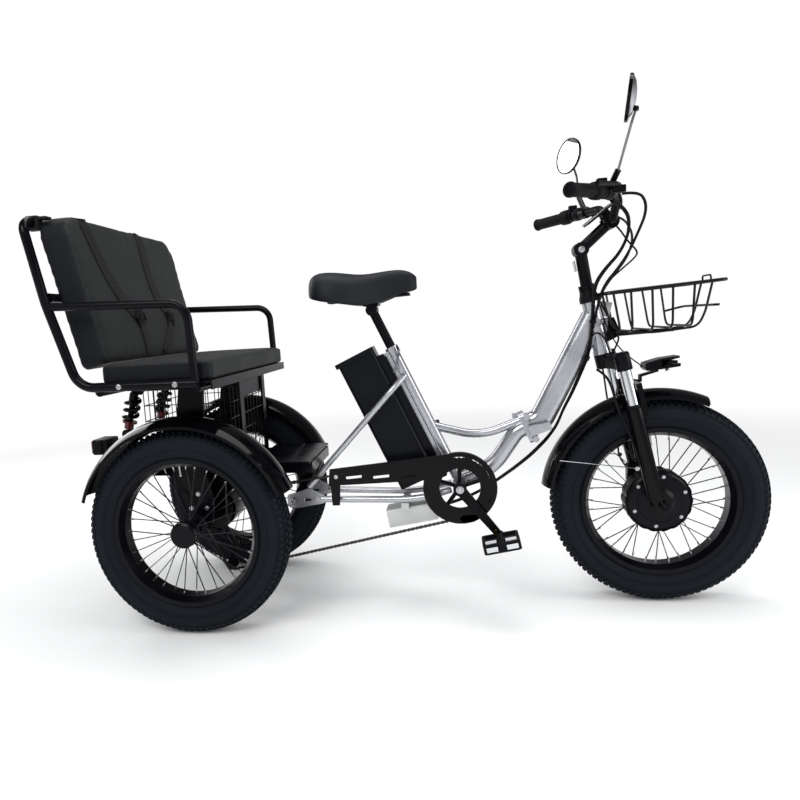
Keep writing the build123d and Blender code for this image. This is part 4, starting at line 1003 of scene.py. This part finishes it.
def make_wheel_trim():
    """Spoke nipples, valves and motor bolts."""
    nipple = lathe([(0, 0), (1.9, 0), (2.1, 9), (2.6, 11), (2.6, 14.6)], 8)
    valve = lathe([(0, 0), (3.4, 0), (3.6, 6), (2.6, 7), (2.6, 34)], 12)
    for name, body, centre in WHEELS:
        pile = Pile()
        for i in range(SPOKES):
            out = radial(TURN * i / SPOKES)
            side = 1 if i % 2 else -1
            pile.add(nipple, aim(centre + (out * (RIM_INNER - 14) + LEFT * side * 6) * MM, out))
        out = radial(radians(95))
        pile.add(valve, aim(centre + out * (RIM_INNER - 32) * MM, out))
        pile.make(f"nipples_{name}", STEEL, body, "steel")
    bolts = Pile()
    for side in (-1, 1):
        for i in range(6):
            out = radial(radians(60 * i + 22)) * MOTOR_BOLT_R + LEFT * side * MOTOR_BOLT_Y
            bolts.add(bolt(3.6, 3.4), aim(HUB + out * MM, LEFT * side))
    bolts.make("motor_bolts", STEEL, "front_wheel", "steel")


def make_motor_trim():
    """The motor's scalloped edge and the raised ring on its covers."""
    steps = 144
    rings = []
    for y, grow in ((-27, -3.0), (-25, 0.0), (25, 0.0), (27, -3.0)):
        ring = []
        for a in [TURN * i / steps for i in range(steps)]:
            r = MOTOR_R + grow + MOTOR_LOBE * abs(cos(MOTOR_LOBES * a / 2)) ** 0.7
            ring.append(HUB + (radial(a) * r + LEFT * y) * MM)
        rings.append(ring)
    pile = Pile().add(skin(rings, flip=True))
    for side in (-1, 1):
        pile.add(lathe([(50, 33), (54, 36.4), (60, 36.4), (63, 33)], 64), aim(HUB, LEFT * side))
    pile.make("motor_edge", MATTE, "front_wheel", "wheel_black")


def make_bolts():
    """Bright fasteners on the seat frame, struts, dropouts and chain guard."""
    pile = Pile()
    for side in (-1, 1):
        for x, y, z, r in FRAME_BOLTS + ((GUARD_BOLT,) if side < 0 else ()):
            pile.add(bolt(r, 0.9 * r), aim(at(x, side * y, z), LEFT * side))
    pile.make("frame_bolts", STEEL, "rear_frame", "steel")


# Baskets, shocks and rear fittings


def make_rear_basket():
    """The wire basket under the bench: rim, uprights and level wires."""
    low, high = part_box("rear_basket")
    wire, rim, pitch = 1.5 * MM, 3.2 * MM, 30 * MM
    x0, x1, y0, y1 = low.x + rim, high.x - rim, low.y + rim, high.y - rim
    z0, z1 = low.z + wire, high.z - rim
    corners = ((x0, y0), (x1, y0), (x1, y1), (x0, y1))
    levels = [(z1, rim), (z0 + wire, wire * 1.4)] + [(z0 + f * (z1 - z0), wire) for f in (0.2, 0.4, 0.6, 0.8)]
    pile = Pile()
    for z, r in levels:
        for a, b in zip(corners, corners[1:] + corners[:1]):
            pile.add(tube([(*a, z), (*b, z)], r, 6))
    count_x, count_y = int((x1 - x0) / pitch), int((y1 - y0) / pitch)
    for i in range(count_x + 1):
        x = x0 + (x1 - x0) * i / count_x
        pile.add(tube([(x, y0, z1), (x, y0, z0), (x, y1, z0), (x, y1, z1)], wire, 6))
    for i in range(1, count_y):
        y = y0 + (y1 - y0) * i / count_y
        pile.add(tube([(x0, y, z1), (x0, y, z0), (x1, y, z0), (x1, y, z1)], wire, 6))
    pile.make("wire_basket_rear", WIRE, "rear_frame", "wire", "rear_basket")


SHOCK_LOW, SHOCK_HIGH = Vector((-239, -115, 545)), Vector((-205, -115, 672))
COIL_TURNS, COIL_STEPS, COIL_R, COIL_WIRE = 3, 26, 19.5, 6.2
COIL_FROM, COIL_LENGTH = 43, 66


def make_shocks():
    """Coil springs round the dampers, red below."""
    up = (SHOCK_HIGH - SHOCK_LOW).normalized()
    across = up.cross(LEFT).normalized()
    for side, name in ((-1, "right"), (1, "left")):
        def place(f, out=Vector()):
            p = SHOCK_LOW + up * f + out
            return at(p.x, side * -p.y, p.z)

        axis = place(1) - place(0)
        damper = Pile()
        damper.add(lathe([(0, 0), (9, 0), (9, 60), (13, 60), (13, 96), (0, 96)], 20), aim(place(30), axis))
        damper.add(lathe([(0, 0), (14, 0), (14, 24), (11, 24), (0, 24)], 20), aim(place(-12), LEFT))
        damper.make(f"shock_damper_{name}", STEEL_BLACK, "rear_frame", "black_steel",
                    "shocks" if side < 0 else None)
        perch = Pile()
        perch.add(lathe([(0, 0), (14, 0), (14, 14), (22, 18), (22, 24), (0, 24)]), aim(place(16), axis))
        perch.make(f"shock_perch_{name}", RED, "rear_frame", "lamp_red")
        path = []
        for i in range(COIL_TURNS * COIL_STEPS + 1):
            a = TURN * i / COIL_STEPS
            path.append(place(COIL_FROM + COIL_LENGTH * i / (COIL_TURNS * COIL_STEPS),
                              (LEFT * cos(a) + across * sin(a)) * COIL_R))
        Pile().add(tube(path, COIL_WIRE * MM)).make(f"shock_coil_{name}", GLOSS, "rear_frame", "gloss_black")


def make_back_bracket():
    """The cushion's fixing straps round the top cross tube."""
    origin = Matrix.Translation(at(0, 0, 0))
    pile = Pile()
    for y in ((-346, -318), (318, 346)):
        pile.add(slab((-352, -316), y, (1128, 1166), 4), origin)
        pile.add(slab((-330, -290), y, (1155, 1162), 2), origin)
    pile.make("back_straps", WEBBING, "rear_frame", "seat_fabric")


def make_rear_lamp():
    origin = Matrix.Translation(at(0, 0, 0))
    body = Pile().add(slab((-407, -354), (-40, 40), (466, 516), 6), origin)
    body.add(slab((-399, -370), (-46, 46), (470, 512), 6), origin)
    body.make("lamp_rear_body", MATTE, "rear_frame", "matte_black", "tail_light")
    lens = Pile().add(slab((-412, -403), (-36, 36), (470, 512), 4), origin)
    lens.make("lamp_rear_lens", RED, "rear_frame", "lamp_red")


# Front basket, fork, mirrors, lamp and bars

BASKET_BACK, BASKET_FRONT, BASKET_HALF = (1146, 873), (1422, 888), 145
# x at the rim, and x and z at the floor, of each rib across the basket
BASKET_RIBS = ((1150, 1175, 770), (1193, 1205, 770), (1244, 1255, 771), (1293, 1302, 774), (1344, 1349, 776))


def make_front_basket():
    """The front basket: ribs across and along it, rim, a rail round its front half and a handle hoop."""
    (x0, z0), (x1, z1), half = BASKET_BACK, BASKET_FRONT, BASKET_HALF
    # points, bend, radius, sides
    wires = []
    for top, foot, low in BASKET_RIBS:
        z = z0 + (top - x0) / (x1 - x0) * (z1 - z0)
        wires.append(([(top, -half, z), (foot, -112, low), (foot, 112, low), (top, half, z)], 26, 3.1, 8))
    for y in (-42, 42):
        wires.append(([(1144, y, z0), (1157, y, 816), (1176, y, 768), (1272, y, 761), (1384, y, 771),
                       (1402, y, 806), (x1 - 2, y, z1)], 26, 3.1, 8))
    wires += [
        ([(x0, 0, z0), (x0, -half, z0), (x1, -half, z1), (x1, half, z1), (x0, half, z0), (x0, 0, z0)],
         24, 4.3, 10),
        ([(1404, -134, 826), (1398, -122, 826), (1398, 124, 826), (1350, 130, 815)], 24, 3.2, 8),
        ([(x1 - 2, -31, 888), (x1 - 3, -31, 905), (x1 - 3, 31, 905), (x1 - 2, 31, 888)], 16, 2.6, 8),
    ]
    pile = Pile()
    for points, bend, r, sides in wires:
        pile.add(hose(rounded(points, bend), r, sides))
    pile.make("wire_basket_front", WIRE, "front_frame", "wire", "front_basket")
    foot = steer(20.5, 0, 30).x
    outline = [(foot - 1, 742), (foot - 1, 808), (foot + 15, 808), (foot + 31, 769.2), (1331.5, 769.2),
               (1331.5, 760.8), (foot + 26, 755.6)]
    shelf = Pile().add(profile_slab(outline, -21.2, 21.2))
    shelf.make("basket_shelf", ALLOY_BLACK, "front_frame", "black_alloy")
    plate = Pile().add(block(2, 15, 20, 1.2), aim(at(1160, 0, 832), (0.24, 0, 1)))
    plate.make("basket_bracket", STEEL, "front_frame", "steel")


LEG_T, LEG_Y, STANCHION_R, LOWER_TOP = 30.0, 80.0, 15.0, -166.0
HEAD_TUBE_TOP = 144.0
# y, half width, t, upper and lower edge of the crown's arm, from the middle out
CROWN_ARM = ((0, 23, 4, -10, -48), (30, 19, 16, -12, -50), (LEG_Y, 15, LEG_T, -18, -54))


def make_fork_top():
    """Crown with a clamp round each bright stanchion, the headset's collar, and the stem's clamp plate."""
    crown, legs, collar = Pile(), Pile(), Pile()
    up = steer(0, 0, 1) - steer(0, 0, 0)

    def column(pile, y, profile, t=0.0, base=0.0, sides=32):
        pile.add(lathe(profile, sides), aim(at(*steer(t, y, base)), up))

    column(crown, 0, [(0, -50), (21, -50), (24, -46), (24, -6), (21, -3), (0, -3)])
    for side in (-1, 1):
        y = side * LEG_Y
        column(crown, y, [(STANCHION_R, -60), (19.5, -60), (20.5, -57), (20.5, -16), (17, -11), (0, -9)],
               LEG_T)
        column(legs, y, [(STANCHION_R, LOWER_TOP + 0.5), (STANCHION_R, -60)], LEG_T)
        column(crown, y, [(18.5, LOWER_TOP + 0.4), (19.2, LOWER_TOP + 3), (17.5, LOWER_TOP + 9),
                          (15.1, LOWER_TOP + 10)], LEG_T)
        arm = []
        for y, half, t, high, low in CROWN_ARM:
            corners = ((t - half, low), (t + half, low), (t + half, high - 6), (t + half - 7, high),
                       (t - half + 7, high), (t - half, high - 6))
            arm.append([at(*steer(u, side * y, v)) for u, v in corners])
        crown.add(skin(arm))
    crown.make("fork_crown_shell", ALLOY_BLACK, "steering", "black_alloy", "fork_crown")
    legs.make("fork_stanchions", CHROME, "steering", "steel")
    column(collar, 0, [(22.6, -5), (26.5, -5), (26.5, 8), (23, 16), (18, 40), (15, 40)], 0, HEAD_TUBE_TOP, 40)
    collar.make("headset_collar", MATTE, "steering", "matte_black")
    plate = Pile().add(block(12, 2, 15, 1.5), aim(at(*steer(-17.5, -3, 245)), up))
    plate.make("stem_plate", STEEL, "steering", "steel")


BAR_BEND, GRIP_INNER, GRIP_END = (105, 104, 385), (55, 196, 397), (-41, 307, 411)
GRIP_R, GRIP_L, BAR_R = 16.5, 128.0, 11.0
MIRROR_R, MIRROR_CLAMP = 53.0, (74, 165, 392.5)
# side, head centre, facing, the stem's bend under the head, the stem's foot
MIRRORS = (
    (-1, (1169, -250, 1314), (-0.97, 0.20, 0.14), (1172, -249, 1262), (1152, -188, 1157)),
    (1, (1113, 250, 1301), (-0.86, -0.49, 0.13), (1131, 238, 1236), (1130, 196, 1160)),
)


def on_side(side, point):
    """A place on the bar, on the left for side 1 and on the right for -1."""
    t, y, s = point
    return steer(t, side * y, s)


def make_mirrors():
    """Round heads on bright stems, each clamped to the bar."""
    rims, shells, glass, stems = Pile(), Pile(), Pile(), Pile()
    r = MIRROR_R
    shell = lathe([(0, -13), (0.35 * r, -12), (0.7 * r, -8), (0.93 * r, -1), (0.93 * r, 2), (0, 2)], 48)
    rim = lathe([(0.9 * r, -1.5), (0.985 * r, -0.5), (r, 3), (r, 6.5), (0.965 * r, 7.6), (0.935 * r, 6.6),
                 (0.935 * r, 2), (0.9 * r, 2)], 48)
    ball = lathe([(0, -6), (5.5, -5), (6.5, 0), (5.5, 5), (0, 6)], 16)
    clamp = lathe([(11.4, -11), (17, -11), (17.5, 0), (17, 11), (11.4, 11)])
    for side, centre, facing, bend, foot in MIRRORS:
        face = Vector(facing).normalized()
        place = aim(at(*centre), face)
        shells.add(shell, place)
        rims.add(rim, place)
        glass.add(lathe([(0, 6.4), (0.5 * r, 6.2), (0.94 * r, 5.4)], 48), place)
        centre, bend, foot = Vector(centre), Vector(bend), Vector(foot)
        neck = centre - face * 12 - UP * 24
        stems.add(hose(rounded([foot, bend, neck], 8), 3.1))
        rims.add(ball, Matrix.Translation(at(*neck)))
        rims.add(hose([neck, centre - face * 6 - UP * 18], 4.2))
        grip = on_side(side, MIRROR_CLAMP)
        rims.add(clamp, aim(at(*grip), on_side(side, GRIP_INNER) - on_side(side, BAR_BEND)))
        rims.add(hose([grip + UP * 10, foot + (bend - foot).normalized() * 10], 7.5, 16))
    shells.make("mirror_shells", CHROME, "steering", "steel", "mirrors")
    rims.make("mirror_rims", GLOSS, "steering", "gloss_black")
    glass.make("mirror_glasses", GLASS, "steering", "steel")
    stems.make("mirror_stems", STEM_STEEL, "steering", "steel")


LAMP_CHEEK = [(1300, 664), (1312, 674), (1340, 674), (1340, 682), (1318, 684), (1300, 684)]
# each flat part of the lamp, with the y it runs from and to
LAMP_PARTS = (
    ([(1256, 664), (1259, 678), (1300, 689), (1345, 694), (1346, 689), (1318, 682), (1312, 674),
      (1300, 664)], -26, 26),
    ([(1256, 664), (1300, 664), (1312, 674), (1349, 673), (1348, 665), (1300, 659), (1264, 656)], -24, 24),
    (LAMP_CHEEK, -26, -22),
    (LAMP_CHEEK, 22, 26),
    ([(1228, 634), (1230, 628), (1248, 624), (1253, 627), (1253, 640), (1296, 652), (1296, 658), (1247, 645),
      (1247, 631), (1232, 634)], -9, 9),
)


def make_headlight():
    body = Pile()
    for outline, y0, y1 in LAMP_PARTS:
        body.add(profile_slab(outline, y0, y1))
    body.make("lamp_front_body", ALLOY_BLACK, "steering", "gloss_black", "headlight")
    lens = Pile().add(profile_slab([(1314, 674.5), (1330, 674.5), (1333, 681.5), (1319, 681.5)], -21.5, 21.5))
    lens.add(lathe([(0, -5), (5, -3), (6, 0), (5, 3), (0, 5)], 16), Matrix.Translation(at(1321, 0, 655)))
    lens.make("lamp_front_lens", CLEAR, "steering", "steel")


def make_display():
    """The tilted screen over the bar clamp, with a bright edge."""
    along = Vector((64, 0, 48)).normalized()
    turn = Matrix((along, LEFT, along.cross(LEFT))).transposed().to_4x4()
    place = Matrix.Translation(at(1141, 2, 1087)) @ turn
    shell = Pile().add(slab((-38, 38), (-34, 34), (-6, 3), 2.5), place)
    shell.add(slab((8, 30), (-12, 12), (-20, -4), 2), place)
    shell.make("display_shell", MATTE, "steering", "matte_black", "display")
    edge = Pile().add(slab((-40, 40), (-36, 36), (-0.5, 2.2), 1.0), place)
    edge.make("display_edge", STEEL, "steering", "steel")
    glass = Pile().add(slab((-33, 33), (-29, 29), (2.5, 3.6), 0.4), place)
    glass.make("display_glass", GLASS_DARK, "steering", "gloss_black")


def make_grip_trim():
    """Grip flanges, the twist throttle's collar, and the switch and lever clamps inboard of them."""
    rubber, cases = Pile(), Pile()
    flange = lathe([(GRIP_R + r, h) for r, h in ((-0.5, 0), (1.6, 1), (2, 4), (1.2, 8), (-0.5, 9))], 32)
    collar = lathe([(GRIP_R + r, h) for r, h in ((-0.5, 0), (4.5, 2), (5.5, 12), (5, 24), (1, 28), (-0.5, 28))],
                   32)
    case = lathe([(BAR_R + 0.3, 0), (18, 0), (19, 3), (19, 16), (17, 19), (BAR_R + 0.3, 19)], 28)
    for side in (-1, 1):
        end = on_side(side, GRIP_END)
        along = (on_side(side, GRIP_INNER) - end).normalized()
        for pile, shape, past in ((rubber, flange, -3 - GRIP_L), (rubber, collar, -30), (cases, case, 18)):
            pile.add(shape, aim(at(*(end + along * (GRIP_L + past))), along))
        for size, past, offset in (((22, 11, 9), 24, (26, 0, 2.6)), ((12, 10, 8), 6, (2, 0, 22))):
            cases.add(block(*size, 3), aim(at(*(end + along * (GRIP_L + past) + Vector(offset))), UP))
    rubber.make("grip_trim", GRIP, "steering", "matte_black")
    cases.make("switch_cases", ALLOY_BLACK, "steering", "matte_black")


def make_stays():
    """Wire stays from the front mudguard to the fork, and the bolts that hold them."""
    wire, bolts = Pile(), Pile()
    bolt_x, _, bolt_z = steer(7, 0, 284)
    for side in (-1, 1):
        route = ((1024, 58, 418), (1120, 82, 410), (1206, 96, 402), (1222, 98, 400))
        cable(wire, [(x, side * y, z) for x, y, z in route], 1.3)
        bolts.add(bolt(4.5, 5), aim(at(1218, side * 98, 400), LEFT * side))
        bolts.add(bolt(6.5, 4), aim(at(bolt_x, side * 22, bolt_z), LEFT * side))
    wire.make("mudguard_stays", STEM_STEEL, "steering", "steel")
    bolts.make("stay_bolts", STEEL, "steering", "steel")


# Drive and battery

CHAIN_Y, CHAIN_PITCH = -72.0, 12.7
LINK_HALF, LINK_WAIST, TOOTH_GAP = 4.3, 2.4, 1
ROLLER_HALF, ROLLER_R, PLATE_HALF = 4.0, 2.6, 0.5
CHAINRING_R, COG_R, PULLEY_R = 86, 43, 17.5
PULLEY_AT = (48, 125)


def belt(circles, step):
    """Places at even steps along a belt round circles (x, z, r), listed anticlockwise."""
    runs = []
    for (x1, z1, r1), (x2, z2, r2) in zip(circles, circles[1:] + circles[:1]):
        gap = hypot(x2 - x1, z2 - z1)
        ux, uz = (x2 - x1) / gap, (z2 - z1) / gap
        lean = (r1 - r2) / gap
        side = (1 - lean * lean) ** 0.5
        nx, nz = ux * lean + uz * side, uz * lean - ux * side
        normal = Vector((nx, nz))
        runs.append((Vector((x1, z1)) + normal * r1, Vector((x2, z2)) + normal * r2, atan2(nz, nx)))
    points = []
    for i, (start, end, angle) in enumerate(runs):
        points += [start, end]
        x, z, r = circles[(i + 1) % len(circles)]
        turn = (runs[(i + 1) % len(runs)][2] - angle) % TURN
        for a in [angle + turn * k / 24 for k in range(1, 24)]:
            points.append(Vector((x + r * cos(a), z + r * sin(a))))
    points.append(points[0])
    total = sum((b - a).length for a, b in zip(points, points[1:]))
    count = 2 * round(total / step / 2)
    even, found = total / count, []
    walked, target = 0.0, 0.0
    for a, b in zip(points, points[1:]):
        length = (b - a).length
        while length and target <= walked + length and len(found) < count:
            found.append(a + (b - a) * ((target - walked) / length))
            target += even
        walked += length
    return found


def make_chain():
    """Roller chain: inner and outer plates by turns, with rollers between."""
    clear = TOOTH_GAP + ROLLER_HALF
    pins = belt([(CRANK_X, CRANK_Z, CHAINRING_R + clear), (0, AXLE_Z / MM - cad_low.z / MM, COG_R + clear),
                 (*PULLEY_AT, PULLEY_R + clear)], CHAIN_PITCH)
    pile = Pile()
    for i, (a, b) in enumerate(zip(pins, pins[1:] + pins[:1])):
        along = (b - a).normalized()
        across = Vector((-along.y, along.x))
        ends = [[c + (along * sign * cos(q) + across * sin(q)) * LINK_HALF for q in (-1.2, -0.5, 0.5, 1.2)]
                for c, sign in ((a, -1), (b, 1))]
        waist = [(a + b) / 2 + across * f for f in (-LINK_WAIST, LINK_WAIST)]
        outline = ends[0] + [waist[1]] + ends[1][::-1] + [waist[0]]
        for side in (-1, 1):
            y = CHAIN_Y + side * (2.6 if i % 2 else 3.7)
            pile.add(profile_slab(outline, y - PLATE_HALF, y + PLATE_HALF))
        pile.add(hose([(a.x, CHAIN_Y - ROLLER_HALF, a.y), (a.x, CHAIN_Y + ROLLER_HALF, a.y)], ROLLER_R, 6))
    pile.make("roller_chain", DARK_STEEL, "rear_frame", "steel", "chain")


# first and last angle of each arc slot, in degrees, and the slots' section as (radius, y)
SLOTS = ((80, 99), (45, 66), (19, 33), (-28, -4))
SLOT_SECTION = ((87.5, -97), (91, -97), (91, -84), (87.5, -84))
SLOT_STEPS = 8


def make_guard():
    """The chain guard with its arc slots cut, and the lug under it."""
    guard = put("slotted_guard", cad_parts["chain_guard"].data.copy())
    cutters = Pile()
    for first, last in SLOTS:
        angles = [radians(first + (last - first) * i / SLOT_STEPS) for i in range(SLOT_STEPS + 1)]
        cutters.add(skin([[at(CRANK_X + r * cos(a), y, CRANK_Z + r * sin(a)) for r, y in SLOT_SECTION]
                          for a in angles]))
    tool = add_piece("slots", cutters.points, cutters.faces, GLOSS)
    face_outward(tool)
    cut = guard.modifiers.new("slots", "BOOLEAN")
    cut.operation = "DIFFERENCE"
    cut.solver = "EXACT"
    cut.object = tool
    apply_modifiers(guard)
    bpy.data.objects.remove(tool)
    smooth_by_angle(guard)
    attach(guard, "rear_frame")
    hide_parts("chain_guard")
    lug = Pile()
    lug.add(profile_slab([(742, 262), (752, 250), (782, 253), (802, 266), (796, 276), (750, 272)], -92, -88))
    lug.make("guard_lug", GLOSS, "rear_frame", "gloss_black")


def make_crank_trim():
    """The axle's bolts and a small brass dot near each crank's end."""
    pile, dots = Pile(), Pile()
    for side in (-1, 1):
        end = Vector((CRANK_X, side * CRANK_END_Y, CRANK_Z))
        pile.add(lathe([(0, 0), (11, 0), (11, 1.5), (7, 2.4), (6, 4), (0, 4)]), aim(at(*end), LEFT * side))
        tip = end - Vector((94, 0, -118)) * side
        dots.add(lathe([(0, 0), (5, 0), (5, 0.7), (0, 0.8)], 20), aim(at(*tip), LEFT * side))
    pile.make("crank_bolts", STEEL, "crank", "steel")
    dots.make("crank_dots", BRASS, "crank", "steel")


PEDAL_TILT = radians(11)
PLATE_X, PLATE_HALF_X = (-27, 27), 15


def make_pedal_reflectors():
    """Pale plates on each pedal's top and outer side."""
    for name, out in (("pedal_right", -1), ("pedal_left", 1)):
        low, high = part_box(name)
        middle = (low + high) / 2 + LEFT * out * 2 * MM
        place = Matrix.Translation(middle) @ Matrix.Rotation(-PEDAL_TILT, 4, "Y")
        pile = Pile()
        for x in PLATE_X:
            for near, far, z, bevel in ((5, 26, (9, 12.2), 1), (45.4, 47.6, (-7, 6), 0.8)):
                y = sorted((out * near, out * far))
                pile.add(slab((x - PLATE_HALF_X, x + PLATE_HALF_X), y, z, bevel), place)
        pile.make("reflectors_" + name[6:], REFLECTOR, name, "steel")


# half width, then (share up the seat tube, distance behind it) round each part of the dock
DOCK = ((27, ((0.08, 46.2), (0.08, 23), (0.955, 23), (0.985, 30), (0.99, 46.2))),
        (30, ((0.10, 40), (0.10, 30), (0.94, 30), (0.95, 40))))
LEVER = ((580, -22, 761), (586, -27, 748), (583, -27, 729), (570, -27, 686))


def make_battery_dock():
    """The dark dock between the battery and the seat tube, and the clamp's lever above it."""
    foot = Vector((CRANK_X, CRANK_Z))
    axis = Vector(SEAT_TUBE_TOP) - foot
    back = Vector((-axis.y, axis.x)).normalized()
    dock = Pile()
    for half, rows in DOCK:
        dock.add(profile_slab([foot + axis * f + back * b for f, b in rows], -half, half))
    dock.make("battery_dock", BATTERY, "rear_frame", "battery_black")
    lever = Pile().add(hose(rounded(LEVER, 10), 4.2, squash=0.6))
    lever.make("seat_clamp_lever", STEM_STEEL, "rear_frame", "steel")


for make in (
        dress_nodes, make_camera, make_world, make_lamps, make_floor, make_tyres, make_wheel_trim,
        make_seat_cushion, make_back_cushion, make_saddle, make_cables, make_rear_basket, make_shocks,
        make_bolts, make_front_basket, make_fork_top, make_mirrors, make_headlight, make_display,
        make_grip_trim, make_motor_trim, make_steering_cables, make_loose_loops, make_chain, make_guard,
        make_crank_trim, make_stays, make_back_bracket, make_rear_lamp, make_battery_dock,
        make_pedal_reflectors):
    make()
bpy.context.scene.view_settings.view_transform = "Standard"
